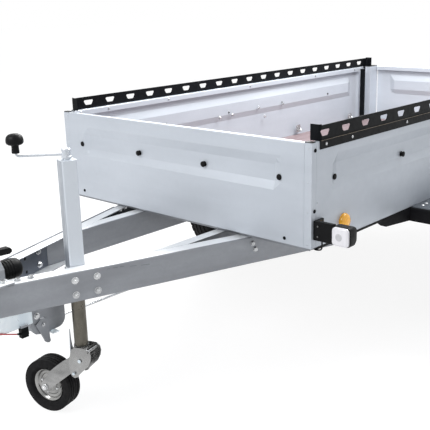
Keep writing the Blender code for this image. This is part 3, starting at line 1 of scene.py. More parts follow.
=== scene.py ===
"""Blender scene of a tandem box trailer standing on its jockey wheel.

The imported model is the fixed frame.  The classes below dress its nodes with finishes, add the small
fittings, and set up the pale studio with the camera.
"""

import json
import logging
import math
from dataclasses import dataclass
from enum import Enum
from functools import cache
from typing import Callable, Sequence

import bmesh
import bpy
from mathutils import Matrix, Vector

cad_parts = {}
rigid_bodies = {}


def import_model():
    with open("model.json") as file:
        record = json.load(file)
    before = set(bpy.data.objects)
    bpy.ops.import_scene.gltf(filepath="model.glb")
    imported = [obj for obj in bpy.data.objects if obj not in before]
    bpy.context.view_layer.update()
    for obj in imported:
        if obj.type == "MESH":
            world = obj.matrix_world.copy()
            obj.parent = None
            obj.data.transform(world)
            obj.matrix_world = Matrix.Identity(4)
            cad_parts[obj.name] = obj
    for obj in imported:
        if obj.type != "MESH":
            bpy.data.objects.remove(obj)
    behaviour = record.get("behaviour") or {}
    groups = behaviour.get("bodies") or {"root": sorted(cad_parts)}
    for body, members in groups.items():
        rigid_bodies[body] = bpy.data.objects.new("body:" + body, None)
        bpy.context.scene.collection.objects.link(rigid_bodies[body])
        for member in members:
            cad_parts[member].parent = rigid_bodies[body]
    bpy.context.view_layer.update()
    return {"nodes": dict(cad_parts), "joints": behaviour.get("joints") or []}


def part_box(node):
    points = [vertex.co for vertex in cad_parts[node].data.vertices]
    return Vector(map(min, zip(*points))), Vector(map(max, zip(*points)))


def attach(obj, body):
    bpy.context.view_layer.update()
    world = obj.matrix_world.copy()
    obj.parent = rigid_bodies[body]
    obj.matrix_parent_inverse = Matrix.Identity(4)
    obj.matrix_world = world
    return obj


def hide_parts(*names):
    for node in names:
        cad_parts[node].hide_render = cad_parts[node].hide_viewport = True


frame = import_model()

LOG = logging.getLogger("trailer")
Point = tuple[float, float, float]
Colour = tuple[float, float, float]
Pair = tuple[float, float]
Floats = tuple[float, ...]
Pairs = tuple[Pair, ...]
Place = Sequence[float]
Socket = bpy.types.NodeSocket

FRONT_X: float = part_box("front_panel")[1][0]
REAR_X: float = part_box("rear_post_left")[0][0]
BASE_Z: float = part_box("front_panel")[0][2]
TOP_Z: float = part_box("front_panel")[1][2]
HALF_WIDTH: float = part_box("side_panel_left")[1][1]
INNER_HALF: float = HALF_WIDTH - 0.0252
AHEAD: Point = (1.0, 0.0, 0.0)
BACK: Point = (-1.0, 0.0, 0.0)
LEFT: Point = (0.0, 1.0, 0.0)
UP: Point = (0.0, 0.0, 1.0)
EVEN: Point = (1.0, 1.0, 1.0)
WHITE: Colour = (1.0, 1.0, 1.0)
SIDES: tuple[tuple[str, int], ...] = (("left", 1), ("right", -1))


class Slot(Enum):
    """Material slots of the record."""

    GALVANISED = "galvanised"
    PANEL = "panel"
    BLACK_STEEL = "black_steel"
    BLACK_PLASTIC = "black_plastic"
    TYRE = "tyre"
    RIM = "rim_silver"
    PLYWOOD = "plywood"
    ZINC = "zinc"
    LAMP_RED = "lamp_red"
    CABLE = "cable_red"


# Finishes

class NodeSheet:
    """Writer for the node tree of a material or a world."""

    def __init__(self, owner: bpy.types.ID, shader: str = "Principled BSDF") -> None:
        """Start from the owner's own shader node.

        Args:
            owner: the new material or world.
            shader: name of its shader node.
        """
        owner.use_nodes = True
        self.owner = owner
        self.tree = owner.node_tree
        self.shader = self.tree.nodes[shader]

    def feed(self, node: bpy.types.Node, inputs: dict[str | int, object]) -> None:
        """Set or link inputs of a node.

        Args:
            node: the node.
            inputs: a value, a colour or a socket for each input, by its name or number.
        """
        for name, value in inputs.items():
            socket = node.inputs[name]
            if isinstance(value, Socket):
                self.tree.links.new(value, socket)
            else:
                socket.default_value = (*value, 1.0) if socket.type == "RGBA" else value

    def add(self, kind: str, inputs: dict[str | int, object], **settings: object) -> bpy.types.Node:
        """Add a node.

        Args:
            kind: the node's type name without its common prefix.
            inputs: a value, a colour or a socket for each input that is set.
            settings: attributes of the node.

        Returns:
            The new node.
        """
        node = self.tree.nodes.new("ShaderNode" + kind)
        for name, value in settings.items():
            setattr(node, name, value)
        self.feed(node, inputs)
        return node

    def place(self, stretch: Point = EVEN) -> Socket:
        """Return object coordinates, stretched along the axes."""
        source = self.add("TexCoord", {}).outputs["Object"]
        return self.add("Mapping", {"Scale": stretch, "Vector": source}).outputs["Vector"]

    def noise(self, scale: float, detail: float = 3.0, stretch: Point = EVEN) -> Socket:
        """Return a noise value.

        Args:
            scale: cells per metre.
            detail: octaves.
            stretch: scale of each axis.

        Returns:
            The value socket.
        """
        inputs = {"Scale": scale, "Detail": detail, "Vector": self.place(stretch)}
        return self.add("TexNoise", inputs).outputs[0]

    def cells(self, scale: float) -> Socket:
        """Return a random value for each crystal-like cell, at so many cells per metre."""
        node = self.add("TexVoronoi", {"Scale": scale, "Vector": self.place()})
        return self.add("SeparateColor", {"Color": node.outputs["Color"]}).outputs[0]

    def wave(self, ribs: float, direction: str) -> Socket:
        """Return even waves along the axis of a letter; more ribs make them finer."""
        inputs = {"Scale": ribs / math.tau, "Vector": self.place()}
        return self.add("TexWave", inputs, bands_direction=direction).outputs["Fac"]

    def spread(self, value: Socket, low: float, high: float, start: float = 0.3, end: float = 0.7) -> Socket:
        """Return a value mapped from one range to another.

        Args:
            value: the value socket.
            low: result at the start of the range.
            high: result at its end.
            start: start of the range read.
            end: end of the range read.

        Returns:
            The mapped socket.
        """
        return self.add("MapRange", {"From Min": start, "From Max": end, "To Min": low, "To Max": high,
                                     "Value": value}).outputs[0]

    def mix(self, factor: Socket, first: object, second: object) -> Socket:
        """Return a blend of two colours or sockets, with the factor as the share of the second."""
        return self.add("Mix", {0: factor, 6: first, 7: second}, data_type="RGBA").outputs[2]

    def combine(self, operation: str, first: Socket, second: object) -> Socket:
        """Return two values put together by an operation of the math node."""
        return self.add("Math", {0: first, 1: second}, operation=operation).outputs[0]

    def facing(self, way: Point) -> Socket:
        """Return 1 on the faces that look a way, and 0 on the others.

        Args:
            way: the direction.

        Returns:
            The value socket.
        """
        normal = self.add("NewGeometry", {}).outputs["Normal"]
        dot = self.add("VectorMath", {0: normal, 1: Vector(way).normalized()}, operation="DOT_PRODUCT")
        return self.spread(dot.outputs["Value"], 0.0, 1.0, 0.80, 0.95)

    def patches(self, scale: float, way: Point, stretch: Point = EVEN) -> Socket:
        """Return fine patches on the faces that look a way.

        Args:
            scale: patches per metre.
            way: the direction.
            stretch: scale of each axis.

        Returns:
            The value socket.
        """
        fine = self.spread(self.noise(scale, 3.0, stretch), 0.55, 1.0)
        return self.combine("MULTIPLY", fine, self.facing(way))

    def bump(self, height: Socket, strength: float, distance: float) -> None:
        """Raise the surface by a height value.

        Args:
            height: the height socket.
            strength: how strongly the bump shows.
            distance: depth of the bump in metres.
        """
        node = self.add("Bump", {"Strength": strength, "Distance": distance, "Height": height})
        self.shade(Normal=node.outputs[0])

    def shade(self, **inputs: object) -> None:
        """Set or link the shader's inputs; underscores in names stand for spaces."""
        self.feed(self.shader, {name.replace("_", " "): value for name, value in inputs.items()})

    def show_to_camera(self, other: bpy.types.Node, share: float = 1.0) -> None:
        """Let rays from the camera see another shader, also in mirrors and through lenses.

        Args:
            other: the other shader's node.
            share: how much of it they see.
        """
        path = self.add("LightPath", {}).outputs
        seen = self.combine("MAXIMUM", path["Is Camera Ray"], path["Is Glossy Ray"])
        seen = self.combine("MAXIMUM", seen, path["Is Transmission Ray"])
        factor = self.combine("MULTIPLY", seen, share)
        mixer = self.add("MixShader", {0: factor, 1: self.shader.outputs[0], 2: other.outputs[0]})
        output = next(node for node in self.tree.nodes if node.type.startswith("OUTPUT"))
        self.feed(output, {"Surface": mixer.outputs[0]})


@dataclass(frozen=True)
class MetalFinish:
    """Zinc-coated or bare metal with crystals, streaks and fine pitting; where set, painted shade darkens the
    faces that look one way and a painted highlight lightens the top faces.
    """

    name: str
    light: Colour
    dark: Colour
    metallic: float
    smooth: float
    rough: float
    crystals: float
    crystal_share: float = 0.25
    streak: Point = EVEN
    painted_shade_way: Point | None = None
    painted_shade_colour: Colour | None = None
    painted_top_highlight: Colour | None = None
    pit_depth: float = 0.0002

    def make(self) -> bpy.types.Material:
        """Build the material."""
        sheet = NodeSheet(bpy.data.materials.new(self.name))
        body = sheet.mix(sheet.spread(sheet.noise(5.0, 4.0, self.streak), 0.0, 1.0), self.light, self.dark)
        crystal = sheet.spread(sheet.cells(self.crystals), 0.0, self.crystal_share, 0.0, 1.0)
        colour = sheet.mix(crystal, body, self.dark)
        # painted shade: streaky dark patches on the faces that look one way
        if self.painted_shade_way:
            colour = sheet.mix(sheet.patches(46.0, self.painted_shade_way, (1.0, 1.0, 0.06)), colour, self.painted_shade_colour)
        # painted highlight: the top faces are lightened towards near white, as if lit from above
        if self.painted_top_highlight:
            colour = sheet.mix(sheet.facing(UP), colour, self.painted_top_highlight)
        sheet.shade(Base_Color=colour, Metallic=self.metallic,
                    Roughness=sheet.spread(sheet.noise(38.0), self.smooth, self.rough))
        sheet.bump(sheet.noise(260.0, 4.0), 0.25, self.pit_depth)
        return sheet.owner


@dataclass(frozen=True)
class CoatFinish:
    """Paint, powder coat, plastic or rubber with fine grain and dust; where set, the top faces get patches
    that are partly dust and partly painted sheen.
    """

    name: str
    colour: Colour
    worn: Colour
    smooth: float
    rough: float
    grain: float = 420.0
    grain_depth: float = 0.0002
    dust: float = 0.25
    coat: float = 0.0
    specular: float = 0.3
    top_dust_and_sheen: Colour | None = None

    def make(self) -> bpy.types.Material:
        """Build the material."""
        sheet = NodeSheet(bpy.data.materials.new(self.name))
        colour = sheet.mix(sheet.spread(sheet.noise(14.0, 5.0), 0.0, self.dust), self.colour, self.worn)
        # top faces: patches that are partly dust and partly painted sheen
        if self.top_dust_and_sheen:
            colour = sheet.mix(sheet.patches(170.0, UP), colour, self.top_dust_and_sheen)
        sheet.shade(Base_Color=colour, Roughness=sheet.spread(sheet.noise(60.0), self.smooth, self.rough),
                    Coat_Weight=self.coat, Coat_Roughness=0.12, Specular_IOR_Level=self.specular)
        sheet.bump(sheet.noise(self.grain), 0.35, self.grain_depth)
        return sheet.owner


@dataclass(frozen=True)
class BoardFinish:
    """Film-faced plywood with its pressed mesh and long grain."""

    name: str = "film faced board"
    film: Colour = (0.165, 0.118, 0.124)
    worn: Colour = (0.215, 0.162, 0.168)
    mesh: float = 260.0
    mesh_depth: float = 0.0004

    def make(self) -> bpy.types.Material:
        """Build the material."""
        sheet = NodeSheet(bpy.data.materials.new(self.name))
        grain = sheet.spread(sheet.noise(9.0, 6.0, (1.0, 14.0, 1.0)), 0.0, 1.0)
        sheet.shade(Base_Color=sheet.mix(grain, self.film, self.worn),
                    Roughness=sheet.spread(sheet.noise(30.0), 0.42, 0.62))
        weave = sheet.combine("MULTIPLY", sheet.wave(self.mesh, "X"), sheet.wave(self.mesh, "Y"))
        sheet.bump(weave, 0.35, self.mesh_depth)
        return sheet.owner


@dataclass(frozen=True)
class LensFinish:
    """Moulded lamp lens with fine ribs."""

    name: str
    colour: Colour
    ribs: float
    rib_depth: float = 0.0006
    shadow: float = 0.72

    def make(self) -> bpy.types.Material:
        """Build the material."""
        sheet = NodeSheet(bpy.data.materials.new(self.name))
        deep = tuple(part * self.shadow for part in self.colour)
        wave = sheet.wave(self.ribs, "Y")
        sheet.shade(Base_Color=sheet.mix(sheet.spread(wave, 0.0, 0.5, 0.2, 0.8), self.colour, deep),
                    Roughness=0.12, Coat_Weight=0.6, Coat_Roughness=0.05)
        sheet.bump(wave, 0.25, self.rib_depth)
        return sheet.owner


class Finish(Enum):
    """Every finish of the trailer, with the record's slot that it belongs to."""

    PANEL = MetalFinish("panel sheet", (0.500, 0.535, 0.585), (0.445, 0.478, 0.525), 0.35, 0.34, 0.50,
                        160.0, 0.10, (0.4, 0.4, 2.0)), Slot.PANEL
    # its top faces carry a near-white painted highlight
    GALVANISED = MetalFinish("hot dip zinc", (0.305, 0.320, 0.345), (0.235, 0.245, 0.265), 0.45, 0.34, 0.52,
                             110.0, 0.25, (0.6, 0.6, 3.0), painted_top_highlight=(0.86, 0.88, 0.90)), Slot.GALVANISED
    # dark marks, and dark sheets that stand for the shade inside the far beam
    DARK_MARKS_AND_SHADE = MetalFinish("dark marks and painted shade", (0.105, 0.120, 0.150), (0.060, 0.070, 0.090), 0.50, 0.34,
                             0.52, 150.0), Slot.GALVANISED
    WHITE_ZINC = MetalFinish("white bloomed zinc", (0.86, 0.92, 0.95), (0.66, 0.74, 0.80), 0.30, 0.26, 0.40,
                             90.0, 0.20, (3.0, 1.0, 0.8)), Slot.ZINC
    BRIGHT_ZINC = MetalFinish("bright zinc", (0.62, 0.65, 0.69), (0.42, 0.45, 0.49), 0.55, 0.24, 0.42,
                              120.0, 0.22, (1.0, 1.0, 0.4)), Slot.ZINC
    # the post's faces that look forward and slightly right get streaks of painted shade
    STAND_ZINC = MetalFinish("stand zinc with streaks and painted side shade", (0.595, 0.635, 0.685), (0.525, 0.560, 0.605), 0.45, 0.28,
                             0.44, 120.0, 0.12, (1.0, 1.0, 0.2), (0.9496, -0.3133, 0.0),
                             (0.215, 0.240, 0.275)), Slot.ZINC
    TUBE_ZINC = MetalFinish("dull plated tube", (0.195, 0.180, 0.150), (0.100, 0.092, 0.074), 0.60, 0.26,
                            0.50, 120.0, 0.45, (6.0, 6.0, 1.6)), Slot.ZINC
    FORK_ZINC = MetalFinish("plated fork steel", (0.40, 0.40, 0.395), (0.22, 0.22, 0.22), 0.85, 0.14, 0.32,
                            70.0, 0.22), Slot.ZINC
    FORK_ARM = MetalFinish("bent fork arm", (0.46, 0.46, 0.455), (0.20, 0.20, 0.20), 0.85, 0.12, 0.28,
                           60.0, 0.16, (1.0, 1.0, 2.4)), Slot.ZINC
    BRIGHT_RIM = MetalFinish("bright rolled rim", (0.40, 0.40, 0.39), (0.10, 0.10, 0.10), 0.90, 0.10, 0.24,
                             300.0, 0.05, (2.0, 2.0, 2.0)), Slot.RIM
    FIXINGS = MetalFinish("plated fixings", (0.80, 0.81, 0.82), (0.34, 0.35, 0.36), 0.82, 0.14, 0.32,
                          400.0), Slot.ZINC
    RIM = MetalFinish("silver rim paint", (0.205, 0.205, 0.200), (0.105, 0.105, 0.105), 0.75, 0.18, 0.34,
                      600.0, 0.12), Slot.RIM
    BLACK_COAT = CoatFinish("black powder coat", (0.0025, 0.003, 0.004), (0.012, 0.013, 0.015), 0.38, 0.58,
                            700.0, dust=0.28, specular=0.08), Slot.BLACK_STEEL
    # light brown strip colour for the painted highlight along the rails' fold
    FOLD_HIGHLIGHT = CoatFinish("painted fold highlight", (0.210, 0.170, 0.125), (0.300, 0.260, 0.210), 0.35,
                             0.50), Slot.BLACK_STEEL
    # navy colour for the painted shade under the body
    NAVY_SHADE = CoatFinish("navy painted shade", (0.009, 0.013, 0.020), (0.018, 0.023, 0.032), 0.40, 0.60,
                           500.0, specular=0.10), Slot.BLACK_STEEL
    RAIL_COAT = CoatFinish("rail coat", (0.0025, 0.003, 0.004), (0.012, 0.013, 0.015), 0.32, 0.50,
                           800.0, specular=0.08), Slot.BLACK_STEEL
    PLASTIC = CoatFinish("black moulded plastic", (0.003, 0.003, 0.0035), (0.012, 0.012, 0.013), 0.34, 0.56,
                         520.0, 0.0003, specular=0.12), Slot.BLACK_PLASTIC
    # its top faces get bluish grey patches, partly dust and partly painted sheen
    GUARD = CoatFinish("grained guard plastic", (0.0035, 0.0035, 0.0045), (0.014, 0.014, 0.017), 0.45, 0.65,
                       300.0, 0.0007, 0.4, specular=0.12, top_dust_and_sheen=(0.115, 0.130, 0.150)), Slot.BLACK_PLASTIC
    RUBBER = CoatFinish("tyre rubber", (0.0050, 0.0050, 0.0060), (0.014, 0.0135, 0.013), 0.60, 0.80,
                        340.0, 0.0003, 0.35, specular=0.16), Slot.TYRE
    BOARD = BoardFinish(), Slot.PLYWOOD
    CLEAR_LENS = LensFinish("clear lens", (0.72, 0.71, 0.74), 330.0), Slot.BLACK_PLASTIC
    GREY_LENS = LensFinish("grey reflector", (0.50, 0.50, 0.52), 900.0), Slot.BLACK_PLASTIC
    ORANGE_LENS = LensFinish("orange lens", (1.0, 0.47, 0.025), 520.0), Slot.LAMP_RED
    RED_LENS = LensFinish("red lens", (0.42, 0.012, 0.014), 240.0), Slot.LAMP_RED
    RED_SHEATH = CoatFinish("red sheath", (0.45, 0.020, 0.022), (0.30, 0.016, 0.016), 0.35, 0.50), Slot.CABLE
    PLATE = CoatFinish("blank plate", (0.78, 0.78, 0.76), (0.66, 0.66, 0.64), 0.25, 0.40,
                       dust=0.15, coat=0.4), Slot.PANEL


@cache
def material(finish: Finish) -> bpy.types.Material:
    """Return the material of a finish, made once."""
    return finish.value[0].make()


# Mesh making

def axes_at(place: Place, first: Vector, second: Vector, third: Vector) -> Matrix:
    """Return a matrix with three given local axes at a place."""
    return Matrix.Translation(Vector(place)) @ Matrix((first, second, third)).transposed().to_4x4()


def frame_at(place: Place, axis: Place) -> Matrix:
    """Return a matrix whose Z runs along an axis, and whose Y is close to upright.

    Args:
        place: the origin.
        axis: direction of the local Z.

    Returns:
        The matrix.
    """
    along = Vector(axis).normalized()
    rough = Vector(UP)
    if abs(along.dot(rough)) > 0.98:
        rough = Vector(AHEAD)
    side = rough.cross(along).normalized()
    return axes_at(place, side, along.cross(side), along)


def put(name: str, data: bpy.types.ID) -> bpy.types.Object:
    """Link a new object to the scene.

    Args:
        name: the object's name.
        data: its mesh, curve, lamp or camera.

    Returns:
        The object.
    """
    item = bpy.data.objects.new(name, data)
    bpy.context.scene.collection.objects.link(item)
    return item


def round_edges(item: bpy.types.Object, width: float, segments: int, angle: float) -> None:
    """Round an object's edges.

    Args:
        item: the object.
        width: width of the rounded edges, in metres; zero leaves them sharp.
        segments: steps of the rounding.
        angle: bluntest edge that is rounded, in degrees.
    """
    if width:
        edge = item.modifiers.new("edge", "BEVEL")
        edge.width = width
        edge.segments = segments
        edge.limit_method = "ANGLE"
        edge.angle_limit = math.radians(angle)


def both_faces(half: list[Pair]) -> list[Pair]:
    """Return a profile's front half and its mirror image."""
    return half + [(radius, -across) for radius, across in reversed(half)]


def moved(radius: float, height: float, steps: Pairs) -> list[Pair]:
    """Return a profile whose steps are measured from a radius and a height."""
    return [(radius + out, height + up) for out, up in steps]


def shared(radius: float, half: float, steps: Pairs) -> list[Pair]:
    """Return a profile whose steps are a distance from a radius and a share of a half width."""
    return [(radius + out, half * share) for out, share in steps]


class Workpiece:
    """A mesh that several shapes are added to."""

    def __init__(self) -> None:
        """Start an empty mesh."""
        self.mesh = bmesh.new()

    def skin(self, rings: Sequence[Sequence[Place]], looped: bool = False) -> None:
        """Skin closed rings of equal count.

        Args:
            rings: the rings' points.
            looped: whether the last ring joins the first; otherwise the ends are closed.
        """
        made = [[self.mesh.verts.new(point) for point in ring] for ring in rings]
        pairs = list(zip(made, made[1:]))
        if looped:
            pairs.append((made[-1], made[0]))
        count = len(made[0])
        for first, second in pairs:
            for index in range(count):
                after = (index + 1) % count
                self.mesh.faces.new((first[index], first[after], second[after], second[index]))
        if not looped:
            self.mesh.faces.new(made[0][::-1])
            self.mesh.faces.new(made[-1])

    def lathe(self, profile: Sequence[Pair], place: Place, axis: Place, segments: int = 24,
              looped: bool = False, turn: float = 0.0, gap: Callable[[int, int], bool] | None = None) -> None:
        """Revolve radius and height pairs about an axis.

        Args:
            profile: radius and height pairs; a radius of zero makes a point.
            place: the axis's origin.
            axis: its direction.
            segments: steps round.
            looped: whether the profile closes on itself.
            turn: angle of the first step, in radians.
            gap: tells by row and step where a face is left out; then the ends stay open.
        """
        matrix = frame_at(place, axis)
        angles = [turn + math.tau * step / segments for step in range(segments)]
        rows = []
        for radius, height in profile:
            if radius == 0.0:
                rows.append([self.mesh.verts.new(matrix @ Vector((0.0, 0.0, height)))] * segments)
            else:
                rows.append([self.mesh.verts.new(matrix @ Vector((radius * math.cos(angle),
                                                                  radius * math.sin(angle), height)))
                             for angle in angles])
        pairs = list(zip(rows, rows[1:]))
        if looped:
            pairs.append((rows[-1], rows[0]))
        for index, (first, second) in enumerate(pairs):
            for step in range(segments):
                if gap and gap(index, step):
                    continue
                after = (step + 1) % segments
                corners = list(dict.fromkeys((first[step], first[after], second[after], second[step])))
                if len(corners) > 2:
                    self.mesh.faces.new(corners)
        if not looped and not gap:
            for row in (rows[0][::-1], rows[-1]):
                if row[0] is not row[1]:
                    self.mesh.faces.new(row)

    def pad(self, outline: Sequence[Pair], matrix: Matrix, steps: Sequence[Pair]) -> None:
        """Skin an outline at several local heights.

        Args:
            outline: local X and Y pairs.
            matrix: places the local axes.
            steps: each height and the scale of the outline there.
        """
        self.skin([[matrix @ Vector((a * scale, b * scale, height)) for a, b in outline]
                   for height, scale in steps])

    def slab(self, outline: Sequence[Pair], matrix: Matrix, low: float, high: float) -> None:
        """Extrude an outline, placed by a matrix, between two local heights."""
        self.pad(outline, matrix, ((low, 1.0), (high, 1.0)))

    def box(self, low: Place, high: Place) -> None:
        """Add a block between two corners."""
        outline = [(low[0], low[1]), (high[0], low[1]), (high[0], high[1]), (low[0], high[1])]
        self.slab(outline, Matrix(), low[2], high[2])

    def tube(self, points: Sequence[Place], radius: float, segments: int = 10) -> None:
        """Sweep a circle along points.

        Args:
            points: the route.
            radius: radius of the bar.
            segments: steps round.
        """
        route = [Vector(point) for point in points]
        ways = [(after - before).normalized() for before, after in zip(route, route[1:])]
        heads = [ways[0]] + [(a + b).normalized() for a, b in zip(ways, ways[1:])] + [ways[-1]]
        side = heads[0].orthogonal().normalized()
        rings = []
        for place, head in zip(route, heads):
            side = (side - head * side.dot(head)).normalized()
            other = head.cross(side)
            rings.append([place + radius * (side * math.cos(math.tau * step / segments)
                                            + other * math.sin(math.tau * step / segments))
                          for step in range(segments)])
        self.skin(rings)

    def disc(self, place: Place, axis: Place, radius: float, height: float, crown: float = 0.0002) -> None:
        """Add a flat washer.

        Args:
            place: point on the surface.
            axis: direction out of the surface.
            radius: its radius.
            height: its height at the edge.
            crown: how much higher its middle is.
        """
        self.lathe([(0.0, 0.0), (radius, 0.0), (radius, height), (0.0, height + crown)], place, axis)

    def hex_bolt(self, place: Place, axis: Place, size: float, washer: bool = True) -> None:
        """Add a hexagon head.

        Args:
            place: point on the surface.
            axis: direction out of the surface.
            size: thread diameter.
            washer: whether a washer lies under the head.
        """
        lift = 0.0
        if washer:
            lift = size * 0.2
            self.lathe([(0.0, 0.0), (size * 1.05, 0.0), (size * 1.05, lift * 0.8), (size, lift), (0.0, lift)],
                       place, axis)
        outer = size * 0.95
        self.lathe([(outer, lift), (outer, lift + size * 0.55), (outer * 0.86, lift + size * 0.66),
                    (0.0, lift + size * 0.66)], place, axis, 6, turn=0.3)

    def dome_bolt(self, place: Place, axis: Place, radius: float, height: float) -> None:
        """Add a low domed head.

        Args:
            place: point on the surface.
            axis: direction out of the surface.
            radius: radius of the head.
            height: its height.
        """
        steps = 5
        profile = [(0.0, 0.0), (radius, 0.0), (radius, height * 0.15)]
        for step in range(1, steps):
            angle = math.pi / 2 * step / steps
            profile.append((radius * math.cos(angle), height * (0.15 + 0.85 * math.sin(angle))))
        profile.append((0.0, height))
        self.lathe(profile, place, axis, 16)

    def stud(self, foot: Vector, way: Vector, size: float, lifts: Pair, end: Pair,
             washer: bool = False) -> None:
        """Add a hexagon nut with the thread's end standing out of it.

        Args:
            foot: point that the lifts are measured from.
            way: direction out of the surface.
            size: thread diameter of the nut.
            lifts: distance of the nut and of the thread's end from the foot.
            end: radius and height of the thread's end.
            washer: whether a washer lies under the nut.
        """
        self.hex_bolt(foot + way * lifts[0], way, size, washer)
        self.dome_bolt(foot + way * lifts[1], way, *end)

    def done(self, name: str, finish: Finish, body: str = "chassis", slot: Slot | None = None,
             bevel: float = 0.0, angle: float = 35.0, replaced: str = "") -> bpy.types.Object:
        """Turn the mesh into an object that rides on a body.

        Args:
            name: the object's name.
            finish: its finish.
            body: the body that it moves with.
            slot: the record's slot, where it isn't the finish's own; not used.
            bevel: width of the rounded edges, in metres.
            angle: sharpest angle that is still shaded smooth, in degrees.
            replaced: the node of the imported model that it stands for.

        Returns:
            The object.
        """
        bmesh.ops.recalc_face_normals(self.mesh, faces=self.mesh.faces)
        mesh = bpy.data.meshes.new(name)
        self.mesh.to_mesh(mesh)
        self.mesh.free()
        mesh.materials.append(material(finish))
        mesh.shade_smooth()
        mesh.set_sharp_from_angle(angle=math.radians(angle))
        piece = put(name, mesh)
        round_edges(piece, bevel, 2, 30.0)
        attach(piece, body)
        if replaced:
            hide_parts(replaced)
        return piece


def dress(node: str, finish: Finish, bevel: float = 0.0012, segments: int = 2,
          edge_angle: float = 32.0) -> None:
    """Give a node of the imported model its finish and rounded, smoothly shaded edges.

    Args:
        node: the node's name.
        finish: its finish.
        bevel: width of the rounded edges, in metres.
        segments: steps of the rounding.
        edge_angle: bluntest edge that is rounded, in degrees.
    """
    item = frame["nodes"][node]
    mesh = item.data
    if mesh.has_custom_normals:
        mesh.attributes.remove(mesh.attributes["custom_normal"])
    mesh.shade_smooth()
    mesh.materials.clear()
    mesh.materials.append(material(finish))
    item.modifiers.new("weld", "WELD").merge_threshold = 0.00002
    round_edges(item, bevel, segments, edge_angle)
    item.modifiers.new("shading", "WEIGHTED_NORMAL").keep_sharp = True


def smooth_route(points: Sequence[Place], steps: int) -> list[Vector]:
    """Read points from a smooth curve through the route's own points.

    Args:
        points: the route.
        steps: points for each stretch.

    Returns:
        The points.
    """
    knots = [Vector(points[0])] + [Vector(point) for point in points] + [Vector(points[-1])]
    route = []
    for before, first, second, after in zip(knots, knots[1:], knots[2:], knots[3:]):
        for step in range(steps):
            t = step / steps
            route.append(0.5 * (2 * first + (second - before) * t
                                + (2 * before - 5 * first + 4 * second - after) * t ** 2
                                + (3 * first - before - 3 * second + after) * t ** 3))
    route.append(knots[-1])
    return route


def rounded(half_a: float, half_b: float, radius: float, steps: int = 4) -> list[Pair]:
    """Return a rectangle with rounded corners.

    Args:
        half_a: half the first side.
        half_b: half the second side.
        radius: corner radius.
        steps: steps of each corner.

    Returns:
        The outline.
    """
    points = []
    for side_a, side_b, start in ((1, 1, 0.0), (-1, 1, 0.25), (-1, -1, 0.5), (1, -1, 0.75)):
        for step in range(steps + 1):
            angle = math.tau * (start + 0.25 * step / steps)
            points.append((side_a * (half_a - radius) + radius * math.cos(angle),
                           side_b * (half_b - radius) + radius * math.sin(angle)))
    return points


def joint(name: str) -> tuple[Vector, Vector]:
    """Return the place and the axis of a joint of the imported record."""
    entry = next(entry for entry in frame["joints"] if entry["name"] == name)
    return Vector(entry["pos_m"]), Vector(entry["axis"]).normalized()


# Body

